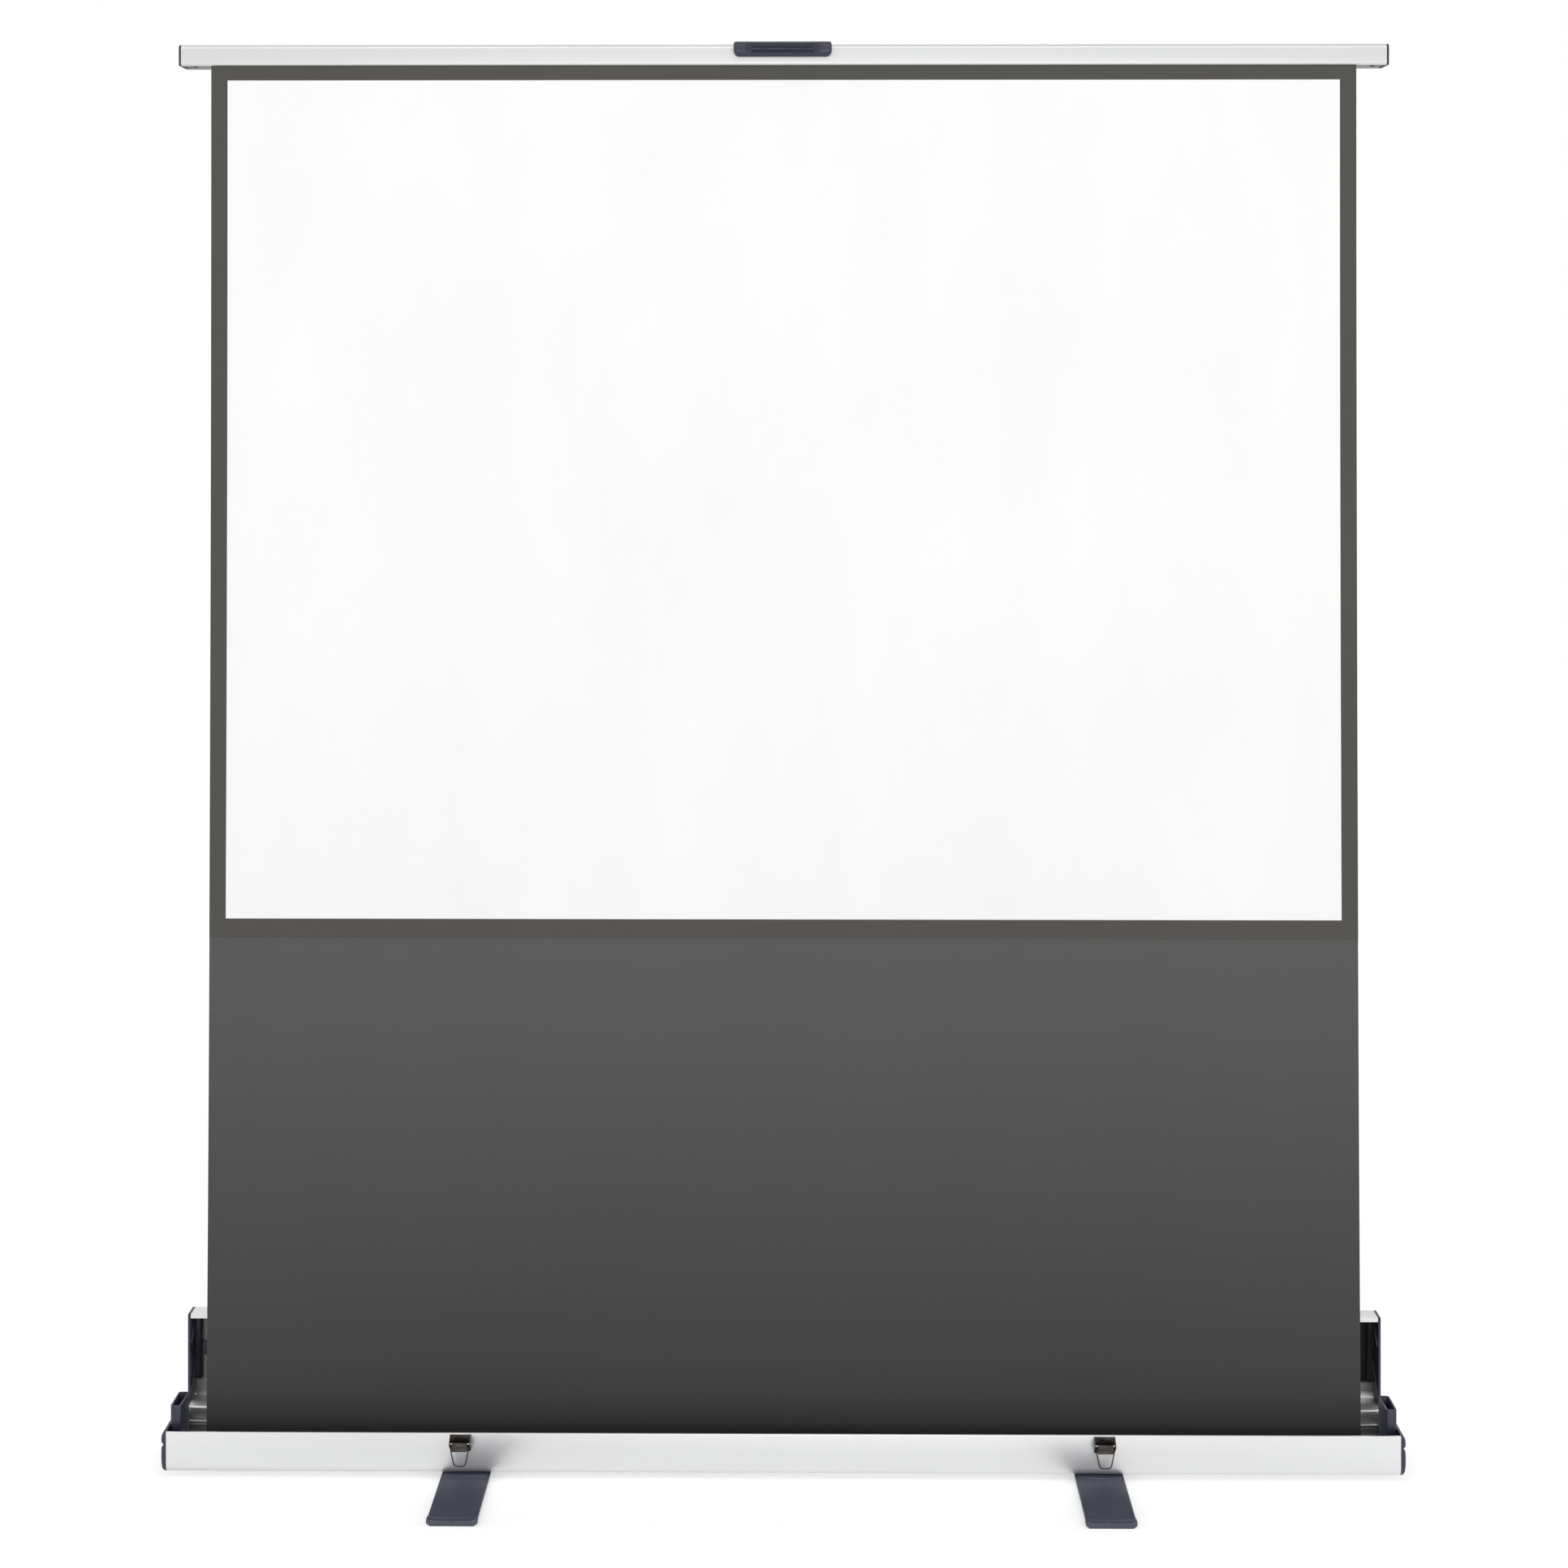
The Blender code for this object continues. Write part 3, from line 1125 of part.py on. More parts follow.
def latch_lever(side, label):
    """The folded lever: two cheeks on the pin, a web across their front and a curled grip below."""
    name = "latch_lever_" + label
    x = side * LATCH_SPACING / 2
    pin_y, pin_z = latch_pivot()
    size = LEVER_LENGTH
    outline = rounded([(pin_y + u * size, pin_z + v * size, r * size) for u, v, r in LEVER_SHARES])
    pin_hole = circle(pin_y, pin_z, LATCH_PIN_RADIUS + SEAT_GAP, PIN_SIDES)
    bail_hole = circle(*bail_pivot(), BAIL_WIRE / 2 + SEAT_GAP, PIN_SIDES)
    half = LEVER_WIDTH / 2
    lever = prism(name, outline, "YZ", x - half, x + half, gunmetal(), (pin_hole, bail_hole))
    hollow = [(pin_y + u * size, pin_z + v * size) for u, v in LEVER_HOLLOW_SHARES]
    inside = half - LEVER_WALL
    cut(lever, prism(name + "_hollow", hollow, "YZ", x - inside, x + inside))


def latch_bail(side, label):
    """The wire loop: its ends turn in through the lever's cheeks, and its legs draw in to the tip."""
    x = side * LATCH_SPACING / 2
    y, z = bail_pivot()
    top = bail_reach()
    tip = top - BAIL_DRAW_IN
    corner = BAIL_WIRE / 2
    stub = LEVER_WIDTH / 2 - LEVER_WALL
    low, straight = z - BAIL_DROP, z - BAIL_STRAIGHT
    route = [(-stub, z), (-top + corner, z), (-top, z - corner), (-top, straight)]
    route += arc(-tip + BAIL_CORNER, low + BAIL_CORNER, BAIL_CORNER, math.pi, 3 * math.pi / 2)
    route += arc(tip - BAIL_CORNER, low + BAIL_CORNER, BAIL_CORNER, -math.pi / 2, 0)
    route += [(top, straight), (top, z - corner), (top - corner, z), (stub, z)]
    points = [(x + u, y, v) for u, v in route]
    wire("latch_bail_" + label, points, BAIL_WIRE / 2, gunmetal(), 1)


def carry_pivot():
    """The carry handle's pivot line on the closed lid: a little ahead of the middle, above the top."""
    return -LUG_DEPTH, LID_TOP + SEAT_GAP + CARRY_BAR


def carry_handle():
    pivot_y, pivot_z = opened([carry_pivot()])[0]
    half = CARRY_LENGTH / 2
    low = pivot_z - CARRY_DROP
    bar = CARRY_BAR
    outer = rounded(
        [
            (-half, pivot_z + bar / 2, bar / 3),
            (-half, low, bar),
            (half, low, bar),
            (half, pivot_z + bar / 2, bar / 3),
            (half - bar, pivot_z + bar / 2, bar / 3),
            (half - bar, low + bar, bar / 2),
            (-half + bar, low + bar, bar / 2),
            (-half + bar, pivot_z + bar / 2, bar / 3),
        ]
    )
    thick = bar / 2
    handle = prism("carry_handle", outer, "XZ", pivot_y - thick, pivot_y + thick, navy())
    bore = CARRY_PIN_RADIUS + SEAT_GAP
    reach = half + OVERRUN
    cut(handle, rod("carry_bore", bore, "X", (0, pivot_y, pivot_z), -reach, reach, None, 16))
    for side, label in SIDES:
        lug(side, label, pivot_y, pivot_z)


def lug(side, label, pivot_y, pivot_z):
    """A moulded lug on the lid whose pin carries one end of the handle."""
    name = "carry_lug_" + label
    wall = opened([(0, LID_TOP + SEAT_GAP)])[0][0]
    inner, outer = CARRY_LENGTH / 2 + RUNNING_GAP, CARRY_LENGTH / 2 + RUNNING_GAP + LUG_WIDTH
    outline = rounded(
        [
            (wall, pivot_z - LUG_HEIGHT / 2, 0),
            (wall, pivot_z + LUG_HEIGHT / 2, 0),
            (pivot_y + LUG_DEPTH / 2, pivot_z + LUG_HEIGHT / 4, LUG_DEPTH / 3),
            (pivot_y + LUG_DEPTH / 2, pivot_z - LUG_HEIGHT / 4, LUG_DEPTH / 3),
        ]
    )
    body = prism(name, outline, "YZ", *span(side, inner, outer), navy())
    p0, p1 = span(side, CARRY_LENGTH / 2 - CARRY_BAR, inner + LUG_WIDTH / 2)
    join(body, rod(name + "_pin", CARRY_PIN_RADIUS, "X", (0, pivot_y, pivot_z), p0, p1, None, 16))


FOOT_DISH_SHARES = ((1, 0), (0.90, 0), (0.82, 0.5), (0.50, 0.88), (0, 1))


def foot_section(x, grow, low, high, dish):
    """A foot's section: chamfered below, with a shallow dish between two lips on top."""
    half = FOOT_WIDTH / 2 + grow
    chamfer = FOOT_EDGE_CHAMFER
    rise = low + FOOT_CHAMFER_HEIGHT
    right = [(x + half * u, high - dish * v) for u, v in FOOT_DISH_SHARES]
    left = [(x - half * u, high - dish * v) for u, v in FOOT_DISH_SHARES[-2::-1]]
    low_side = [(x - half, rise), (x - half + chamfer, low), (x + half - chamfer, low), (x + half, rise)]
    return low_side + right + left


def foot(side, label):
    """A dished bar with a raised pad that the case stands on and turns over, and a cap on each end."""
    name = "foot_" + label
    x = side * FOOT_SPACING / 2
    half = FOOT_LENGTH / 2
    bar_half = half - FOOT_CAP_LENGTH - SEAT_GAP
    low, high = FOOT_CAP_LIP / 2, FOOT_THICKNESS - FOOT_CAP_LIP
    body = prism(name, foot_section(x, 0, low, high, FOOT_DISH), "XZ", -bar_half, bar_half, navy())
    reach = DEPTH_HALF + FOOT_PAD_OVERHANG
    pad_low = high - 2 * FOOT_DISH
    pad = [(-reach, pad_low, 0), (reach, pad_low, 0)]
    pad += [(reach, FOOT_THICKNESS, FOOT_PAD_EDGE), (-reach, FOOT_THICKNESS, FOOT_PAD_EDGE)]
    pad_half = FOOT_WIDTH / 2 - FOOT_PAD_INSET
    join(body, prism(name + "_pad", rounded(pad), "YZ", x - pad_half, x + pad_half))
    bore = FOOT_PIVOT_RADIUS + SEAT_GAP
    sink = FOOT_PIVOT_HEAD + 2 * SEAT_GAP
    cut(
        body,
        rod(name + "_bore", bore, "Z", (x, 0, 0), -OVERRUN, FOOT_THICKNESS + OVERRUN),
        rod(name + "_sink", FOOT_PIVOT_HEAD_RADIUS + SEAT_GAP, "Z", (x, 0, 0), -OVERRUN, low + sink),
    )
    head_low = low + SEAT_GAP
    head_high = head_low + FOOT_PIVOT_HEAD
    nut_low = CASE_FLOOR + SEAT_GAP
    nut_high = nut_low + FOOT_PIVOT_HEAD
    pivot = [(0, nut_high), (FOOT_PIVOT_HEAD_RADIUS, nut_high), (FOOT_PIVOT_HEAD_RADIUS, nut_low)]
    pivot += [(FOOT_PIVOT_RADIUS, nut_low), (FOOT_PIVOT_RADIUS, head_high)]
    pivot += [(FOOT_PIVOT_HEAD_RADIUS, head_high), (FOOT_PIVOT_HEAD_RADIUS, head_low), (0, head_low)]
    turned("foot_pivot_" + label, pivot, "Z", (x, 0, 0), steel())
    for end, word in ((-1, "front"), (1, "rear")):
        foot_cap(f"foot_cap_{word}_{label}", x, end)


def foot_cap(name, x, end):
    """A moulded cap over the end of a foot, slightly wider than the bar, notched in its middle."""
    tip = FOOT_LENGTH / 2
    y0, y1 = span(end, tip - FOOT_CAP_LENGTH, tip)
    section = foot_section(x, FOOT_CAP_WALL / 2, 0, FOOT_THICKNESS, FOOT_CAP_DISH)
    cap = prism(name, section, "XZ", y0, y1, navy())
    bevel = cap.modifiers.new("edges", "BEVEL")
    bevel.width = FOOT_CAP_LIP
    bevel.segments = 2
    bevel.limit_method = "ANGLE"
    bevel.angle_limit = math.radians(50)
    radius = FOOT_CAP_WALL
    notch_low, notch_high = FOOT_THICKNESS - FOOT_CAP_DISH - radius / 2, FOOT_THICKNESS + OVERRUN
    cut(cap, rod(name + "_notch", radius, "Z", (x, end * tip, 0), notch_low, notch_high, None, PIN_SIDES))


def build():
    clear_scene()
    case_trough()
    roller()
    fabric()
    arms()
    top_bar()
    pull_handle()
    lid_cover()
    lid_pad()
    carry_handle()
    for side, label in SIDES:
        case_cap(side, label)
        base_bracket(side, label)
        arm_spring(side, label)
        top_bracket(side, label)
        lid_cap(side, label)
        catch(side, label)
        latch_plate(side, label)
        latch_lever(side, label)
        latch_bail(side, label)
        foot(side, label)


build()
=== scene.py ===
"""The looks of a portable projector screen, raised over its open aluminium case.

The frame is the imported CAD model. Row frame: X along the case, -Y towards the viewer, +Z up,
in metres.
"""

import json
import math

import bmesh
import bpy
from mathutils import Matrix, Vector


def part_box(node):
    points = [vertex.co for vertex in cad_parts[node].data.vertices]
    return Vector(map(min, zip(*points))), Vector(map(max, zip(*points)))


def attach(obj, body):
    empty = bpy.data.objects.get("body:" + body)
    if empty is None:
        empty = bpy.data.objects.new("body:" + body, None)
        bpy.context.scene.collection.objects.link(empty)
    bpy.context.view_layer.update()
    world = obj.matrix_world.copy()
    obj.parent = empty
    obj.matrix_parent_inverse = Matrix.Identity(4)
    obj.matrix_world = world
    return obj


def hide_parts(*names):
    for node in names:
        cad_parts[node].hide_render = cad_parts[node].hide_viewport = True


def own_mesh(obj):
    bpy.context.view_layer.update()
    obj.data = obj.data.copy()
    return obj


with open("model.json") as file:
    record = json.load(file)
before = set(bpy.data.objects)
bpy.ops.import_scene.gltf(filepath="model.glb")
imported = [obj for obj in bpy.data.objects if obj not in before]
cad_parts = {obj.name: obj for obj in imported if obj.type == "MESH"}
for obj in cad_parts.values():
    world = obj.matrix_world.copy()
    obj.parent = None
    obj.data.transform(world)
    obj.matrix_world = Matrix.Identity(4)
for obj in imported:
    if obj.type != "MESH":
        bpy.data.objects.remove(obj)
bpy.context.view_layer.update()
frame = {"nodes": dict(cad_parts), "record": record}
nodes = frame["nodes"]

# Camera, fitted to the corners of the case, the bar and the cloths in the photograph

PHOTO_SIDE = 1932
FOCAL_PIXELS = 3053.4
HORIZON_ROW = 461.5
SENSOR = 36.0
CAMERA_AT = (0.0317, -3.5977, 1.5790)
CAMERA_YAW = 0.00826
CAMERA_CLIP = 60


def place(name, data):
    """A new object with this data, in the scene."""
    made = bpy.data.objects.new(name, data)
    bpy.context.scene.collection.objects.link(made)
    return made


def make_camera():
    data = bpy.data.cameras.new("camera")
    data.sensor_width = SENSOR
    data.lens = FOCAL_PIXELS / PHOTO_SIDE * SENSOR
    data.shift_y = (HORIZON_ROW - PHOTO_SIDE / 2) / PHOTO_SIDE
    data.clip_end = CAMERA_CLIP
    camera = place("camera", data)
    camera.location = CAMERA_AT
    camera.rotation_euler = (math.pi / 2, 0, CAMERA_YAW)
    bpy.context.scene.camera = camera


# Node helpers


def new_material(name):
    made = bpy.data.materials.new(name)
    made.use_nodes = True
    tree = made.node_tree
    return made, tree, tree.nodes["Principled BSDF"]


def place_in_space(tree):
    """The object coordinates, split into X, Y and Z."""
    where = tree.nodes.new("ShaderNodeTexCoord")
    split = tree.nodes.new("ShaderNodeSeparateXYZ")
    tree.links.new(where.outputs["Object"], split.inputs["Vector"])
    return split.outputs


def maths(tree, operation, *values):
    """The result of a Math node over sockets and numbers."""
    made = tree.nodes.new("ShaderNodeMath")
    made.operation = operation
    for socket, value in zip(made.inputs, values):
        if isinstance(value, bpy.types.NodeSocket):
            tree.links.new(value, socket)
        else:
            socket.default_value = value
    return made.outputs[0]


def mixed(tree, share, first, second):
    """Two colours mixed by a share. The first is a socket or a plain colour."""
    made = tree.nodes.new("ShaderNodeMix")
    made.data_type = "RGBA"
    tree.links.new(share, made.inputs["Factor"])
    if isinstance(first, tuple):
        made.inputs["A"].default_value = (*first, 1)
    else:
        tree.links.new(first, made.inputs["A"])
    tree.links.new(second, made.inputs["B"])
    return made.outputs["Result"]


def noise(tree, scale, detail=3.0, stretch=(1, 1, 1)):
    """A noise in object space, stretched along the axes given."""
    where = tree.nodes.new("ShaderNodeTexCoord")
    mapping = tree.nodes.new("ShaderNodeMapping")
    mapping.inputs["Scale"].default_value = stretch
    texture = tree.nodes.new("ShaderNodeTexNoise")
    texture.inputs["Scale"].default_value = scale
    texture.inputs["Detail"].default_value = detail
    tree.links.new(where.outputs["Object"], mapping.inputs["Vector"])
    tree.links.new(mapping.outputs["Vector"], texture.inputs["Vector"])
    return texture.outputs["Fac"]


def ramp(tree, value, low, high, start=0.3, end=0.7):
    """Two colours, or greys, blended by a value."""
    made = tree.nodes.new("ShaderNodeValToRGB")
    first, last = made.color_ramp.elements
    first.position, last.position = start, end
    for element, colour in ((first, low), (last, high)):
        if isinstance(colour, float):
            colour = (colour, colour, colour)
        element.color = (*colour, 1)
    tree.links.new(value, made.inputs["Fac"])
    return made.outputs["Color"]


def shaded(tree, value, colour, shade, *ends):
    """A colour that goes down to a share of itself by a value."""
    return ramp(tree, value, tuple(c * shade for c in colour), colour, *ends)


def bump(tree, shader, heights, strength, distance):
    made = tree.nodes.new("ShaderNodeBump")
    made.inputs["Strength"].default_value = strength
    made.inputs["Distance"].default_value = distance
    tree.links.new(heights, made.inputs["Height"])
    tree.links.new(made.outputs["Normal"], shader.inputs["Normal"])


# Materials. A noise is its scale, detail and stretch. A bump is its strength and distance.
# A shade is the share of the colour that is left in the darkest patches.

DIE_LINES = (1.0, 4.0, (3, 900, 900))
DIE_LINE_SHADE = 0.965
METAL_ROUGHNESS = 0.36
METAL_ROUGHER = 0.08
METAL_GRAIN = (2600.0, 2.0)
METAL_BUMP = (0.05, 0.0004)
ANODISED_METALLIC = 0.8


def aluminium(name, colour):
    """Satin anodised extrusion: faint die lines along X and a fine grain."""
    made, tree, shader = new_material(name)
    lines = noise(tree, *DIE_LINES)
    tree.links.new(shaded(tree, lines, colour, DIE_LINE_SHADE), shader.inputs["Base Color"])
    dull = ramp(tree, lines, METAL_ROUGHNESS + METAL_ROUGHER, METAL_ROUGHNESS)
    tree.links.new(dull, shader.inputs["Roughness"])
    shader.inputs["Metallic"].default_value = ANODISED_METALLIC
    bump(tree, shader, noise(tree, *METAL_GRAIN), *METAL_BUMP)
    return made


MOULD_PATCHES = (35.0, 3.0)
MOULD_SHADE = 0.88
MOULD_ROUGHER = 0.06
MOULD_SMOOTHER = 0.04
MOULD_GRAIN = 1400.0
MOULD_GRAIN_DETAIL = 2.0
MOULD_BUMP = (0.12, 0.0003)
MOULD_SPECULAR = 0.5


def moulded(name, colour, roughness, grain=MOULD_GRAIN, specular=MOULD_SPECULAR):
    """Injection-moulded plastic with a spark-eroded grain and slight tone changes."""
    made, tree, shader = new_material(name)
    patches = noise(tree, *MOULD_PATCHES)
    tree.links.new(shaded(tree, patches, colour, MOULD_SHADE), shader.inputs["Base Color"])
    dull = ramp(tree, patches, roughness + MOULD_ROUGHER, roughness - MOULD_SMOOTHER)
    tree.links.new(dull, shader.inputs["Roughness"])
    shader.inputs["Specular IOR Level"].default_value = specular
    bump(tree, shader, noise(tree, grain, MOULD_GRAIN_DETAIL), *MOULD_BUMP)
    return made


PAINTED_SHADE_MOTTLE = 0.8
LID_CAP_ROUGHNESS = 0.45


def moulded_with_painted_shade(name, colour, shade_colour, near, far):
    """A moulding with painted shade: a second, darker colour between two distances from the middle.
    """
    made, tree, shader = new_material(name)
    distance = maths(tree, "ABSOLUTE", place_in_space(tree)["X"])
    within = maths(tree, "COMPARE", distance, (near + far) / 2, (far - near) / 2)
    patches = noise(tree, *MOULD_PATCHES)
    outside = shaded(tree, patches, colour, MOULD_SHADE)
    # The band between the two distances is painted shade, near-black
    inside = shaded(tree, patches, shade_colour, PAINTED_SHADE_MOTTLE)
    tree.links.new(mixed(tree, within, outside, inside), shader.inputs["Base Color"])
    shader.inputs["Roughness"].default_value = LID_CAP_ROUGHNESS
    bump(tree, shader, noise(tree, MOULD_GRAIN, MOULD_GRAIN_DETAIL), *MOULD_BUMP)
    return made


PLATE_CLOUD = (60.0, 5.0)
PLATE_SHADE = 0.78
PLATE_ROUGHER = 0.12
PLATE_METALLIC = 0.95


def plated(name, colour, roughness):
    """Plated steel with a cloudy bloom."""
    made, tree, shader = new_material(name)
    cloud = noise(tree, *PLATE_CLOUD)
    tree.links.new(shaded(tree, cloud, colour, PLATE_SHADE), shader.inputs["Base Color"])
    dull = ramp(tree, cloud, roughness + PLATE_ROUGHER, roughness)
    tree.links.new(dull, shader.inputs["Roughness"])
    shader.inputs["Metallic"].default_value = PLATE_METALLIC
    return made


PAINT_PATCHES = (12.0, 3.0)
PAINT_SHADE = 0.85
ORANGE_PEEL = (700.0, 2.0)
PAINT_BUMP = (0.15, 0.0004)


def painted(name, colour, roughness):
    """Powder paint on steel, with a fine orange peel."""
    made, tree, shader = new_material(name)
    patches = noise(tree, *PAINT_PATCHES)
    tree.links.new(shaded(tree, patches, colour, PAINT_SHADE), shader.inputs["Base Color"])
    shader.inputs["Roughness"].default_value = roughness
    bump(tree, shader, noise(tree, *ORANGE_PEEL), *PAINT_BUMP)
    return made


def weave(tree, pitch):
    """Heights of a plain weave in the XZ plane: two crossed waves of the given pitch."""
    at = place_in_space(tree)
    turn = 2 * math.pi / pitch
    across, up = [maths(tree, "SINE", maths(tree, "MULTIPLY", at[axis], turn)) for axis in "XZ"]
    return maths(tree, "MULTIPLY", across, up)


CLOTH_PATCHES = (5.0, 4.0, (1, 1, 0.4))
CLOTH_SHADE = 0.94
CLOTH_SHADE_ENDS = (0.2, 0.8)
CLOTH_SPECULAR = 0.3
WEAVE_STRENGTH = 0.25


def cloth(name, colour, roughness, pitch, depth, painted_shade=None):
    """Woven cloth. The last argument, if given, is painted shade: a second, darker colour, and the
    heights between which it turns to the first.
    """
    made, tree, shader = new_material(name)
    patches = noise(tree, *CLOTH_PATCHES)
    tone = shaded(tree, patches, colour, CLOTH_SHADE, *CLOTH_SHADE_ENDS)
    if painted_shade:
        # Painted shade: below the low height the cloth takes the darker colour, blending to its own
        # by the high one
        painted_shade_colour, low, high = painted_shade
        share = tree.nodes.new("ShaderNodeMapRange")
        share.inputs["From Min"].default_value = low
        share.inputs["From Max"].default_value = high
        tree.links.new(place_in_space(tree)["Z"], share.inputs["Value"])
        tone = mixed(tree, share.outputs["Result"], painted_shade_colour, tone)
    tree.links.new(tone, shader.inputs["Base Color"])
    shader.inputs["Roughness"].default_value = roughness
    shader.inputs["Specular IOR Level"].default_value = CLOTH_SPECULAR
    bump(tree, shader, weave(tree, pitch), WEAVE_STRENGTH, depth)
    return made


NAVY_COLOUR = (0.021, 0.023, 0.046)
# Painted shade: the lid caps' inner faces, between these distances from the middle, are painted
# near-black; the band is wider on the right
LID_CAP_PAINTED_SHADE_COLOUR = (0.007, 0.007, 0.009)
LID_CAP_PAINTED_SHADE_NEAR = 0.8728
LID_CAP_PAINTED_SHADE_FAR = {"left": 0.8775, "right": 0.8815}
# Painted shade: the skirt cloth darkens towards its bottom between these heights, for light that
# falls off downwards
SKIRT_PAINTED_SHADE_COLOUR = (0.030, 0.030, 0.029)
SKIRT_PAINTED_SHADE_HEIGHTS = (0.04, 0.74)
PICTURE_WEAVE = {"roughness": 0.85, "pitch": 0.0012, "depth": 0.00005}
SKIRT_WEAVE = {"roughness": 0.62, "pitch": 0.0016, "depth": 0.0001}

SATIN = aluminium("satin_aluminium", (0.735, 0.74, 0.742))
NAVY = moulded("navy_plastic", NAVY_COLOUR, roughness=0.36)
# Painted shade: the bar is a darker copy of the satin aluminium, to hold down the lamps'
# reflections in it
BAR_SATIN_PAINTED_SHADE = aluminium("bar_aluminium_painted_shade", (0.60, 0.604, 0.607))
# Painted light: the feet are a lighter copy of the navy plastic, as if lit from above
FOOT_PLASTIC_PAINTED_LIGHT = moulded("foot_plastic_painted_light", (0.062, 0.066, 0.098), roughness=0.42)
# The lid caps, with painted shade on their inner faces
LID_CAP_FINISHES = {
    "lid_cap_" + side: moulded_with_painted_shade(
        "lid_cap_" + side, NAVY_COLOUR, LID_CAP_PAINTED_SHADE_COLOUR, LID_CAP_PAINTED_SHADE_NEAR, far
    )
    for side, far in LID_CAP_PAINTED_SHADE_FAR.items()
}
BLACK = moulded(
    "black_plastic", (0.009, 0.009, 0.010), roughness=0.55, grain=500.0, specular=0.3
)
GUNMETAL = plated("gunmetal", (0.060, 0.052, 0.047), roughness=0.24)
STEEL = plated("zinc_steel", (0.55, 0.55, 0.56), roughness=0.32)
ARM = painted("black_steel", (0.028, 0.028, 0.030), roughness=0.45)
WHITE_CLOTH = cloth("white_fabric", (0.93, 0.93, 0.925), **PICTURE_WEAVE)
BORDER_CLOTH = cloth("border_print", (0.080, 0.077, 0.069), **PICTURE_WEAVE)
# The skirt cloth, with painted shade towards its bottom
SKIRT_CLOTH = cloth(
    "black_fabric", (0.083, 0.083, 0.082), **SKIRT_WEAVE, painted_shade=(SKIRT_PAINTED_SHADE_COLOUR, *SKIRT_PAINTED_SHADE_HEIGHTS)
)
FINISHES = {
    "satin_aluminium": SATIN,
    "navy_plastic": NAVY,
    "black_plastic": BLACK,
    "gunmetal": GUNMETAL,
    "zinc_steel": STEEL,
    "black_steel": ARM,
    "white_fabric": WHITE_CLOTH,
    "black_fabric": SKIRT_CLOTH,
}
# By the start of the node's name
OWN_FINISHES = {
    # The feet and their caps take the lighter plastic with painted light
    "foot_left": FOOT_PLASTIC_PAINTED_LIGHT,
    "foot_right": FOOT_PLASTIC_PAINTED_LIGHT,
    "foot_cap": FOOT_PLASTIC_PAINTED_LIGHT,
    **LID_CAP_FINISHES,
}

# Edges of the CAD nodes

WELD_DISTANCE = 0.00002
FLAT_ANGLE = math.radians(0.5)
EDGE_ANGLE = math.radians(34)
EDGE_SEGMENTS = 2
# By the start of the node's name. The other nodes keep sharp edges.
EDGE_WIDTHS = {
    "case_trough": 0.0003,
    "lid_cover": 0.0003,
    "case_cap": 0.0006,
    "lid_cap": 0.0006,
    "lid_catch": 0.0005,
    "lid_end_pad": 0.0005,
    "foot_cap": 0.0007,
    "foot_left": 0.0007,
    "foot_right": 0.0007,
    "bar_cap": 0.0005,
    "latch_plate": 0.0002,
    "latch_lever": 0.0002,
    "carry": 0.0005,
    "base_bracket": 0.0003,
    "top_bracket": 0.0003,
    "lower_arm": 0.0004,
    "upper_arm": 0.0004,
}


def soften(node, width):
    """Welds a node's facets, shades its curves smooth and breaks its sharp edges by a round."""
    node.data.shade_smooth()
    weld = node.modifiers.new("weld", "WELD")
    weld.merge_threshold = WELD_DISTANCE
    flat = node.modifiers.new("flat", "DECIMATE")
    flat.decimate_type = "DISSOLVE"
    flat.angle_limit = FLAT_ANGLE
    if width:
        edge = node.modifiers.new("edge", "BEVEL")
        edge.width = width
        edge.segments = EDGE_SEGMENTS
        edge.limit_method = "ANGLE"
        edge.angle_limit = EDGE_ANGLE
        edge.harden_normals = True
    else:
        edge = node.modifiers.new("edge", "EDGE_SPLIT")
        edge.split_angle = EDGE_ANGLE


def by_start(table, name, otherwise):
    """The entry of a table whose key the name starts with."""
    found = [entry for start, entry in table.items() if name.startswith(start)]
    return found[0] if found else otherwise


def dress_nodes():
    """Every CAD node gets its slot's material, or its own, and softened edges."""
    for entry in frame["record"]["subparts"]:
        name = entry["node"]
        node = nodes[name]
        node.data.materials.clear()
        node.data.materials.append(
            by_start(OWN_FINISHES, name, FINISHES[entry["material_slot"]])
        )
        soften(node, by_start(EDGE_WIDTHS, name, 0))


def take_place(piece, node, body):
    """Puts a finer piece in a node's place: hides the node and sets the piece on its body."""
    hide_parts(node)
    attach(piece, body)


# Fabric

IMAGE_HALF = 0.810
IMAGE_LOW, IMAGE_HIGH = 0.788, 2.008
CLOTH_HALF = 0.834
CLOTH_THICKNESS = 0.0006
CLOTH_SMOOTH_ANGLE = math.radians(50)
SEAM_LAP = 0.006
SEAM_SETBACK = 0.0002
PUCKER_MIDDLE = 0.355
PUCKER_REACH = 0.13
PUCKER_HEIGHT = 0.012
PUCKER_PITCH = 0.062
PUCKER_DEPTH = 0.0010
ROLLER_Z = 0.037
BORDER_CELLS = 2
PICTURE_COLUMNS, PICTURE_ROWS = 54, 40
SKIRT_COLUMNS, SKIRT_ROWS = 80, 30


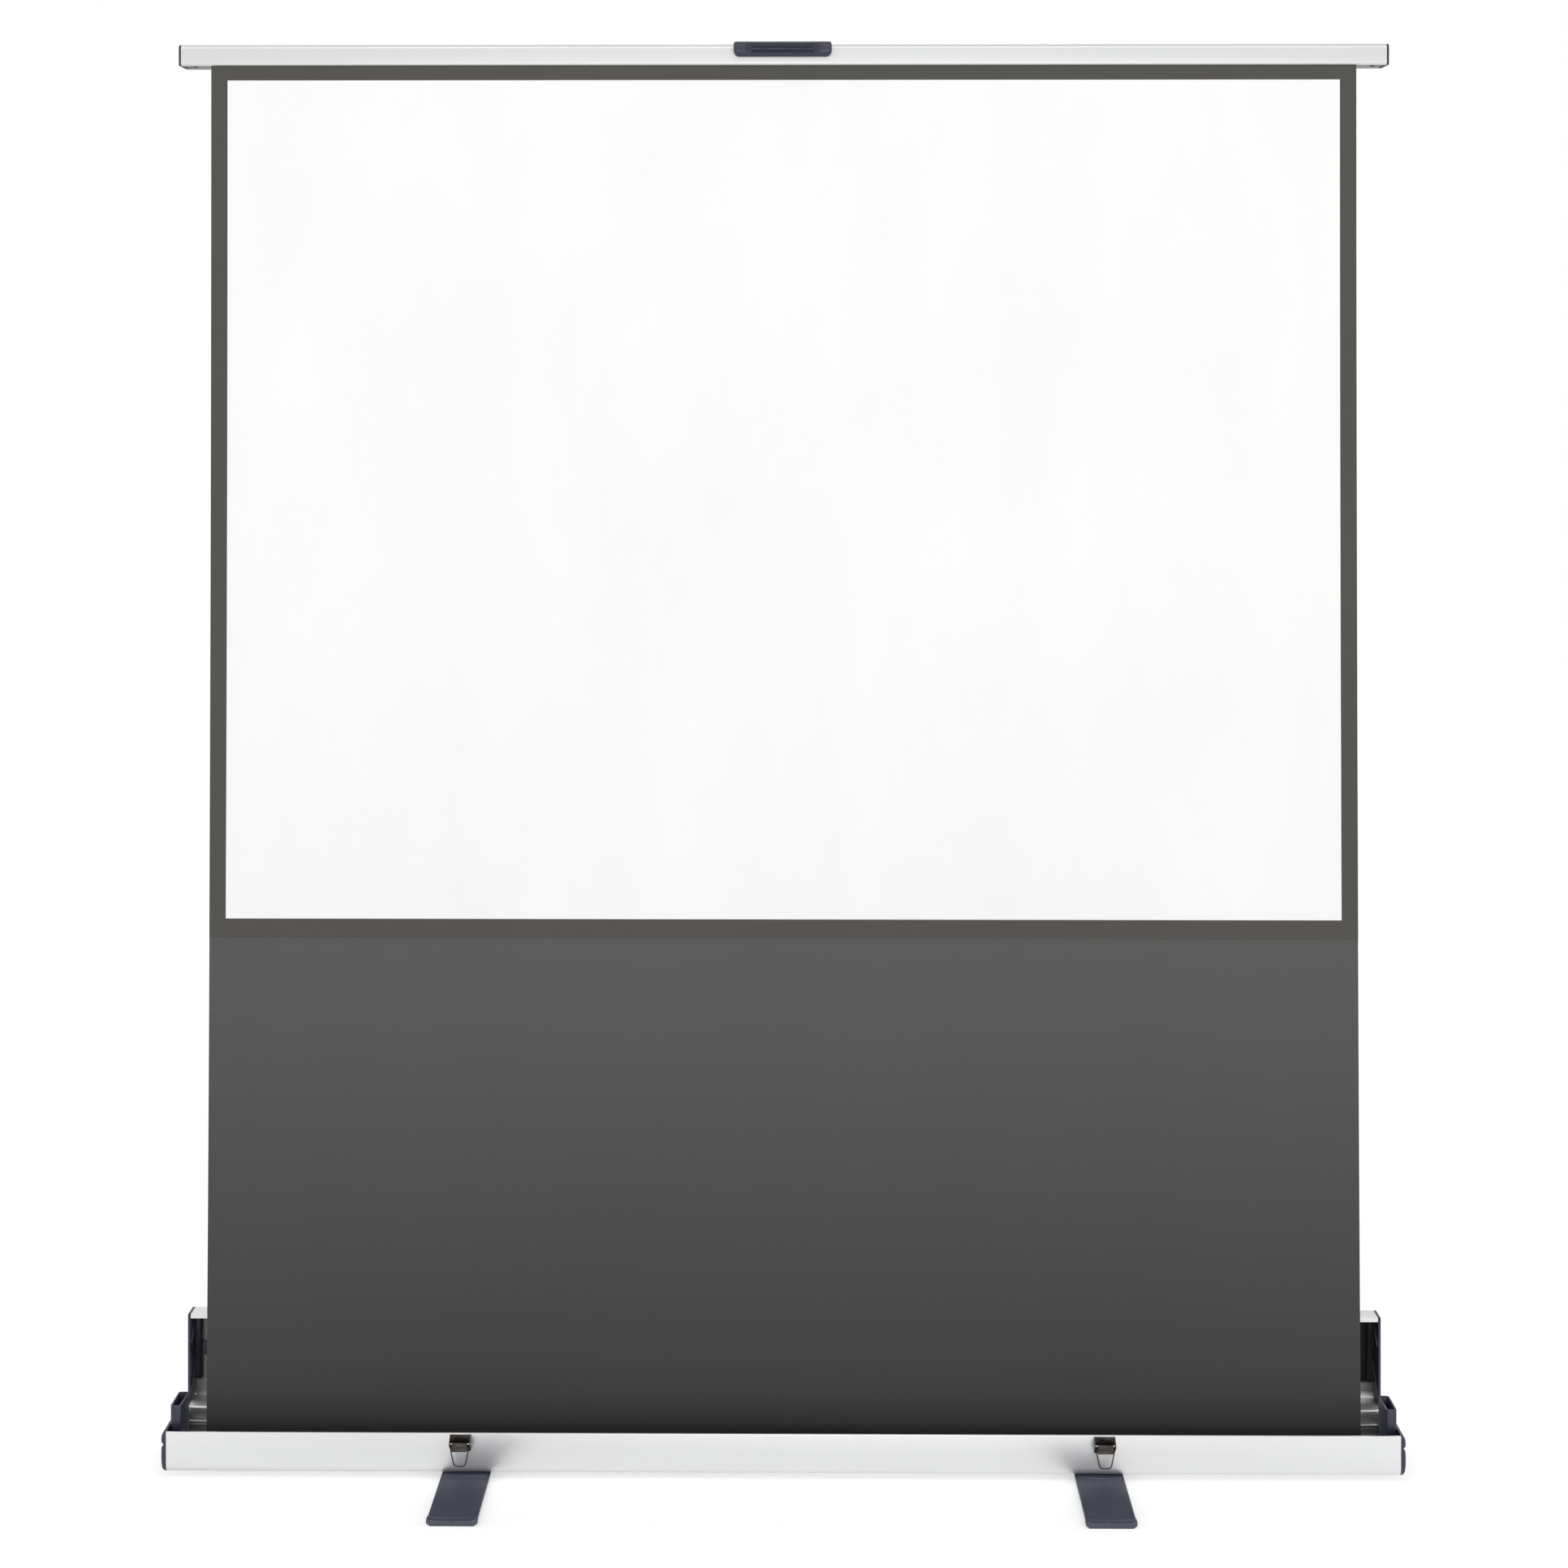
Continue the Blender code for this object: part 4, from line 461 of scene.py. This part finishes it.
def cloth_sheet(name, xs, zs, front, finish_of, finishes, setback=0.0):
    """A thin closed sheet on a grid of x and z lines.

    front(x, z) is the Y of its front, and finish_of(x, z) picks a front face's material. The last
    material is that of the back and the edges.
    """
    mesh = bpy.data.meshes.new(name)
    bm = bmesh.new()
    sides = [
        [[bm.verts.new((x, front(x, z) + back, z)) for x in xs] for z in zs]
        for back in (setback, setback + CLOTH_THICKNESS)
    ]
    last = len(finishes) - 1
    for i in range(len(zs) - 1):
        for j in range(len(xs) - 1):
            middle = ((xs[j] + xs[j + 1]) / 2, (zs[i] + zs[i + 1]) / 2)
            for rows, in_front in zip(sides, (True, False)):
                ring = (rows[i][j], rows[i][j + 1], rows[i + 1][j + 1], rows[i + 1][j])
                face = bm.faces.new(ring if in_front else ring[::-1])
                face.material_index = finish_of(*middle) if in_front else last
    borders = [
        (rows[0], [row[-1] for row in rows], rows[-1][::-1], [row[0] for row in rows][::-1])
        for rows in sides
    ]
    for near, far in zip(*borders):
        for a, b, c, d in zip(near, near[1:], far[1:], far):
            face = bm.faces.new((b, a, d, c))
            face.material_index = last
    bmesh.ops.recalc_face_normals(bm, faces=bm.faces)
    bm.to_mesh(mesh)
    bm.free()
    for finish in finishes:
        mesh.materials.append(finish)
    mesh.shade_smooth()
    mesh.set_sharp_from_angle(angle=CLOTH_SMOOTH_ANGLE)
    return place(name, mesh)


def steps(low, high, count):
    return [low + (high - low) * i / count for i in range(count + 1)]


def make_fabric():
    """The picture cloth with its printed border, and the skirt cloth behind its lower edge."""
    picture_box, skirt_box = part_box("image_fabric"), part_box("skirt_fabric")
    low, high = picture_box[0].z, picture_box[1].z
    front_low, front_high = skirt_box[0].y, picture_box[1].y - CLOTH_THICKNESS

    def pucker(x, z):
        """Small puckers where the two cloths are welded together, right of the middle."""
        side = max(0.0, 1 - ((x - PUCKER_MIDDLE) / PUCKER_REACH) ** 2)
        near = math.exp(-(((z - low) / PUCKER_HEIGHT) ** 2))
        return PUCKER_DEPTH * side * near * math.sin(2 * math.pi * x / PUCKER_PITCH) ** 3

    def front(x, z):
        """The cloth leans a little from the roller, and is upright at the bar."""
        share = (high - z) / (high - ROLLER_Z)
        return front_high - (front_high - front_low) * share**2 + pucker(x, z)

    def printed(x, z):
        return 0 if abs(x) < IMAGE_HALF and IMAGE_LOW < z < IMAGE_HIGH else 1

    def plain(x, z):
        return 0

    edge = steps(-CLOTH_HALF, -IMAGE_HALF, BORDER_CELLS)[:-1]
    xs = edge + steps(-IMAGE_HALF, IMAGE_HALF, PICTURE_COLUMNS) + [-x for x in edge][::-1]
    zs = steps(low, IMAGE_LOW, BORDER_CELLS)[:-1]
    zs += steps(IMAGE_LOW, IMAGE_HIGH, PICTURE_ROWS)
    zs += steps(IMAGE_HIGH, high, BORDER_CELLS)[1:]
    finishes = [WHITE_CLOTH, BORDER_CLOTH, SKIRT_CLOTH]
    picture = cloth_sheet("picture_cloth", xs, zs, front, printed, finishes)
    take_place(picture, "image_fabric", "case")

    skirt_low, skirt_top = skirt_box[0].z, low + SEAM_LAP
    xs = steps(-CLOTH_HALF, CLOTH_HALF, SKIRT_COLUMNS)
    zs = steps(skirt_low, skirt_top, SKIRT_ROWS)
    lapped = CLOTH_THICKNESS + SEAM_SETBACK
    skirt = cloth_sheet("skirt_cloth", xs, zs, front, plain, [SKIRT_CLOTH], lapped)
    take_place(skirt, "skirt_fabric", "case")

    for piece, size in ((picture, high - low), (skirt, skirt_top - skirt_low)):
        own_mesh(piece)


# Top bar, pull handle, bails and arm springs


def new_piece(name, mesh, finish, smooth_angle):
    mesh.materials.append(finish)
    mesh.shade_smooth()
    mesh.set_sharp_from_angle(angle=smooth_angle)
    return place(name, mesh)


def loft(name, sections, finish, smooth_angle=EDGE_ANGLE):
    """A closed skin over rings of points, with a cap at each end."""
    bm = bmesh.new()
    rings = [[bm.verts.new(point) for point in section] for section in sections]
    for one, two in zip(rings, rings[1:]):
        for i in range(len(one)):
            j = (i + 1) % len(one)
            bm.faces.new((one[i], one[j], two[j], two[i]))
    bm.faces.new(rings[0][::-1])
    bm.faces.new(rings[-1])
    bmesh.ops.recalc_face_normals(bm, faces=bm.faces)
    mesh = bpy.data.meshes.new(name)
    bm.to_mesh(mesh)
    bm.free()
    return new_piece(name, mesh, finish, smooth_angle)


def tube(name, points, radius, finish, rounds=2):
    """A wire along points, as a mesh."""
    data = bpy.data.curves.new(name, "CURVE")
    data.dimensions = "3D"
    data.bevel_depth = radius
    data.bevel_resolution = rounds
    data.use_fill_caps = True
    spline = data.splines.new("POLY")
    spline.points.add(len(points) - 1)
    for point, at in zip(spline.points, points):
        point.co = (*at, 1)
    route = place(name + "_route", data)
    view = bpy.context.evaluated_depsgraph_get()
    mesh = bpy.data.meshes.new_from_object(route.evaluated_get(view))
    mesh.name = name
    bpy.data.objects.remove(route)
    bpy.data.curves.remove(data)
    return new_piece(name, mesh, finish, EDGE_ANGLE)


def arc(u, v, radius, first, last, count=8):
    """Points on an arc, with the angles given in degrees."""
    angles = [math.radians(first + (last - first) * i / count) for i in range(count + 1)]
    return [(u + radius * math.cos(a), v + radius * math.sin(a)) for a in angles]


BAR_WALL = 0.0016
BAR_FRONT_ROUND = 0.0065
BAR_REAR_ROUND = 0.003
BOSS_ROUND = 0.0044
BOSS_STEPS = 16
BORE_ROUND = 0.0029
BORE_STEPS = 20
MOUTH_HALF = 0.0008
BAR_END_RING = WELD_DISTANCE * 20  # keeps the shading of the long faces off the ends


def make_bar():
    """The top bar's extrusion: open below, with the hem rod's slot along its lower front edge."""
    low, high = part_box("top_bar")
    front, rear, bottom, top = low.y, high.y, low.z, high.z
    y, z = front + BOSS_ROUND, bottom + BOSS_ROUND
    front_y, front_z = front + BAR_FRONT_ROUND, top - BAR_FRONT_ROUND
    rear_y, rear_z = rear - BAR_REAR_ROUND, top - BAR_REAR_ROUND
    outside = math.degrees(math.acos(MOUTH_HALF / BOSS_ROUND))
    inside = math.degrees(math.acos(MOUTH_HALF / BORE_ROUND))
    meets = math.degrees(math.acos((front + BAR_WALL - y) / BOSS_ROUND))
    ring = arc(y, z, BOSS_ROUND, -180 + outside, -180)
    ring += arc(front_y, front_z, BAR_FRONT_ROUND, 180, 90)
    ring += arc(rear_y, rear_z, BAR_REAR_ROUND, 90, 0)
    ring += [(rear, bottom), (rear - BAR_WALL, bottom)]
    ring += arc(rear_y, rear_z, BAR_REAR_ROUND - BAR_WALL, 0, 90)
    ring += arc(front_y, front_z, BAR_FRONT_ROUND - BAR_WALL, 90, 180)
    ring += arc(y, z, BOSS_ROUND, meets, -outside, BOSS_STEPS)
    ring += arc(y, z, BORE_ROUND, -inside, 180 + inside, BORE_STEPS)
    ends = (low.x, low.x + BAR_END_RING, high.x - BAR_END_RING, high.x)
    bar = loft("bar_extrusion", [[(x, *point) for point in ring] for x in ends], BAR_SATIN_PAINTED_SHADE)
    take_place(bar, "top_bar", "top_bar")


GRIP_HALF = 0.0546
GRIP_FLAT_HALF = 0.044
GRIP_DEPTH = 0.0092
GRIP_CREASE = 0.0108
GRIP_ROUNDNESS = 2.7
GRIP_TOP_ROUND = 0.0035
GRIP_LOW_ROUND = 0.0085
GRIP_END_ROUND = 0.0035
GRIP_SMOOTH_ANGLE = math.radians(40)
GRIP_CLEARANCE = WELD_DISTANCE * 10
GRIP_LEAST_LIP = WELD_DISTANCE * 5
GRIP_PROFILE_STEPS = 40
# The grip's sections: in from each end, in from the groove's edge, down the groove's slanted end,
# and over its floor, where they are measured from the middle
GRIP_END_OFFSETS = (0, 0.0001, 0.0005, 0.0012, 0.0022, 0.0036, 0.005, 0.0068, 0.0085, 0.012)
GRIP_EDGE_OFFSETS = (0, 0.0004)
GRIP_SLANT_STEPS = 6
GRIP_FLOOR_FROM_MIDDLE = (0.040, 0.02, 0)


def rounding(distance, radius):
    """How far a round of a radius has drawn in at a distance from the end that it closes."""
    if distance >= radius:
        return 0.0
    return radius - math.sqrt(max(0.0, radius**2 - (radius - distance) ** 2))


def make_handle():
    """The moulded grip: two round humps, and a groove with a crease and slanted ends between."""
    low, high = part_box("pull_handle")
    bar_low, bar_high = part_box("top_bar")
    back = bar_low.y - GRIP_CLEARANCE
    under = bar_high.z + GRIP_CLEARANCE
    depth = back - low.y
    half = high.x
    crease = high.z - GRIP_CREASE
    slanted = GRIP_HALF - GRIP_FLAT_HALF
    offsets = list(GRIP_END_OFFSETS)
    offsets += [half - GRIP_HALF + offset for offset in GRIP_EDGE_OFFSETS]
    offsets += [
        half - GRIP_HALF + slanted * i / GRIP_SLANT_STEPS for i in range(1, GRIP_SLANT_STEPS + 1)
    ]
    offsets += [half - offset for offset in GRIP_FLOOR_FROM_MIDDLE]
    xs = [-half + offset for offset in offsets] + [half - offset for offset in offsets[-2::-1]]
    turns = steps(0, math.pi, GRIP_PROFILE_STEPS)
    shares = [(1 - math.cos(turn)) / 2 for turn in turns]
    sections = []
    for x in xs:
        distance = half - abs(x)
        bottom = low.z + rounding(distance, GRIP_LOW_ROUND)
        top = max(under + GRIP_LEAST_LIP, high.z - rounding(distance, GRIP_TOP_ROUND))
        reach = depth - rounding(distance, GRIP_END_ROUND)
        slant = (GRIP_HALF - abs(x)) / slanted
        section = []
        for share in shares:
            z = bottom + (top - bottom) * share
            bulge = (1 - abs(2 * share - 1) ** GRIP_ROUNDNESS) ** (1 / GRIP_ROUNDNESS)
            y = back - reach * bulge
            fall = (high.z - z) / GRIP_CREASE if z > crease else (z - low.z) / (crease - low.z)
            groove = low.y + GRIP_DEPTH * max(0.0, min(fall, slant))
            section.append((x, max(y, groove) if slant > 0 else y, z))
        lip = high.y - rounding(distance, GRIP_END_ROUND)
        section += [(x, lip, top), (x, lip, under), (x, back, under)]
        sections.append(section)
    handle = loft("pull_grip", sections, NAVY, GRIP_SMOOTH_ANGLE)
    take_place(handle, "pull_handle", "top_bar")


BAIL_WIRE = 0.0019
BAIL_DRAW_IN = 0.003
BAIL_STRAIGHT = 0.007
BAIL_CORNER = 0.0055
BAIL_EYE_STEPS = 3
BAIL_STUB_GAP = BAIL_WIRE * 0.65


def make_bails():
    """The latches' wire loops, with smooth corners."""
    radius = BAIL_WIRE / 2
    for label in ("left", "right"):
        low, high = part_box("latch_bail_" + label)
        x, y = (low.x + high.x) / 2, (low.y + high.y) / 2
        out = (high.x - low.x) / 2 - radius
        tip = out - BAIL_DRAW_IN
        z, bottom = high.z - radius, low.z + radius
        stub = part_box("latch_lever_" + label)[1].x - x - BAIL_STUB_GAP
        half = [(stub, z), (out - radius, z)]
        half += arc(out - radius, z - radius, radius, 90, 0, BAIL_EYE_STEPS)
        half += [(out, z - BAIL_STRAIGHT)]
        half += arc(tip - BAIL_CORNER, bottom + BAIL_CORNER, BAIL_CORNER, 0, -90)
        route = [(x - u, y, v) for u, v in half] + [(x + u, y, v) for u, v in half[::-1]]
        bail = tube("bail_wire_" + label, route, radius, GUNMETAL)
        take_place(bail, "latch_bail_" + label, "latch_bail_" + label)


ARM_LEAN = math.radians(17.03)
SPRING_TURNS = 5
SPRING_STEPS = 24
SPRING_WIRE = 0.0016
SPRING_WIRE_ROUNDS = 1
SPRING_RADIUS = 0.0068
SPRING_LEG = 0.045


def make_arm_springs():
    """The torsion springs at the arms' feet."""
    for side, label in ((-1, "left"), (1, "right")):
        low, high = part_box("arm_spring_" + label)
        pin_low, pin_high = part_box("base_pin_" + label)
        x, z = (pin_low.x + pin_high.x) / 2, (pin_low.z + pin_high.z) / 2
        along = Vector((-side * math.sin(ARM_LEAN), math.cos(ARM_LEAN)))
        square = Vector((along.y, -along.x)) * side
        near, far = low.y + SPRING_WIRE / 2, high.y - SPRING_WIRE / 2
        first, last = (near, far) if side < 0 else (far, near)
        start = math.atan2(square.y, square.x)
        turn = 2 * math.pi * SPRING_TURNS + side * (start + math.pi / 2) % (2 * math.pi)
        leg = Vector((x, z)) + square * SPRING_RADIUS + along * SPRING_LEG
        points = [(leg.x, first, leg.y)]
        count = SPRING_TURNS * SPRING_STEPS
        for i in range(count + 1):
            angle = start - side * turn * i / count
            y = first + (last - first) * i / count
            round_x, round_z = SPRING_RADIUS * math.cos(angle), SPRING_RADIUS * math.sin(angle)
            points.append((x + round_x, y, z + round_z))
        end = low.x + SPRING_WIRE / 2 if side < 0 else high.x - SPRING_WIRE / 2
        points.append((end, last, points[-1][2]))
        name = "torsion_spring_" + label
        spring = tube(name, points, SPRING_WIRE / 2, STEEL, SPRING_WIRE_ROUNDS)
        take_place(spring, "arm_spring_" + label, "case")
        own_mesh(spring)


# Stage and light

FLOOR_REACH = 9.0
FLOOR_COLOUR = (0.85, 0.85, 0.85, 1)
FLOOR_ROUGHNESS = 0.9
FLOOR_WHITE = 0.40
WORLD_COLOUR = (1, 1, 1, 1)
WORLD_LIGHT = 0.74
WORLD_WHITE = 1.0
# Name, place, aim, size and power
LAMPS = (
    ("front_high", (0.0, -3.0, 4.6), (0, 0, 1.0), (5.0, 2.0), 40),
    ("front", (0.3, -5.2, 1.0), (0, 0, 0.8), (3.4, 1.0), 40),
    ("left", (-3.6, -2.6, 1.6), (0, 0, 1.0), (1.4, 2.4), 9),
    ("right", (3.6, -2.6, 1.6), (0, 0, 1.0), (1.4, 2.4), 9),
    ("behind", (0.0, 3.0, 3.0), (0, 0, 0.8), (3.0, 1.6), 20),
)


def seen(tree):
    """1 for what the camera sees, in a reflection and through glass too, and 0 for the light."""
    path = tree.nodes.new("ShaderNodeLightPath").outputs
    plainly = maths(tree, "MAXIMUM", path["Is Camera Ray"], path["Is Glossy Ray"])
    return maths(tree, "MAXIMUM", plainly, path["Is Transmission Ray"])


def shader_pick(tree, share, first, second):
    made = tree.nodes.new("ShaderNodeMixShader")
    for socket, value in zip(made.inputs, (share, first, second)):
        tree.links.new(value, socket)
    return made.outputs[0]


def emission(tree, strength):
    made = tree.nodes.new("ShaderNodeEmission")
    made.inputs["Strength"].default_value = strength
    return made.outputs[0]


def camera_white(tree, shader_output, strength):
    """Adds plain white, seen only by the camera and in reflections, to a surface."""
    pick = shader_pick(tree, seen(tree), emission(tree, 0), emission(tree, strength))
    both = tree.nodes.new("ShaderNodeAddShader")
    tree.links.new(shader_output, both.inputs[0])
    tree.links.new(pick, both.inputs[1])
    return both.outputs[0]


def make_stage():
    mesh = bpy.data.meshes.new("floor")
    corners = [(-1, -1), (1, -1), (1, 1), (-1, 1)]
    points = [(x * FLOOR_REACH, y * FLOOR_REACH, 0) for x, y in corners]
    mesh.from_pydata(points, [], [(0, 1, 2, 3)])
    floor = place("floor", mesh)
    made, tree, shader = new_material("floor")
    shader.inputs["Base Color"].default_value = FLOOR_COLOUR
    shader.inputs["Roughness"].default_value = FLOOR_ROUGHNESS
    shader.inputs["Specular IOR Level"].default_value = 0.0
    result = camera_white(tree, shader.outputs[0], FLOOR_WHITE)
    tree.links.new(result, tree.nodes["Material Output"].inputs["Surface"])
    mesh.materials.append(made)


def make_world():
    world = bpy.data.worlds.new("world")
    bpy.context.scene.world = world
    world.use_nodes = True
    tree = world.node_tree
    plain = tree.nodes["Background"]
    white = tree.nodes.new("ShaderNodeBackground")
    for background, strength in ((plain, WORLD_LIGHT), (white, WORLD_WHITE)):
        background.inputs["Color"].default_value = WORLD_COLOUR
        background.inputs["Strength"].default_value = strength
    pick = shader_pick(tree, seen(tree), plain.outputs[0], white.outputs[0])
    tree.links.new(pick, tree.nodes["World Output"].inputs["Surface"])


def make_lamp(name, at, aim, size, power):
    data = bpy.data.lights.new(name, "AREA")
    data.shape = "RECTANGLE"
    data.size, data.size_y = size
    data.energy = power
    lamp = place(name, data)
    lamp.location = at
    lamp.rotation_mode = "QUATERNION"
    lamp.rotation_quaternion = (Vector(aim) - Vector(at)).to_track_quat("-Z", "Y")


dress_nodes()
make_fabric()
make_bar()
make_handle()
make_bails()
make_arm_springs()
make_stage()
make_world()
for lamp in LAMPS:
    make_lamp(*lamp)
make_camera()
bpy.context.scene.view_settings.view_transform = "Standard"
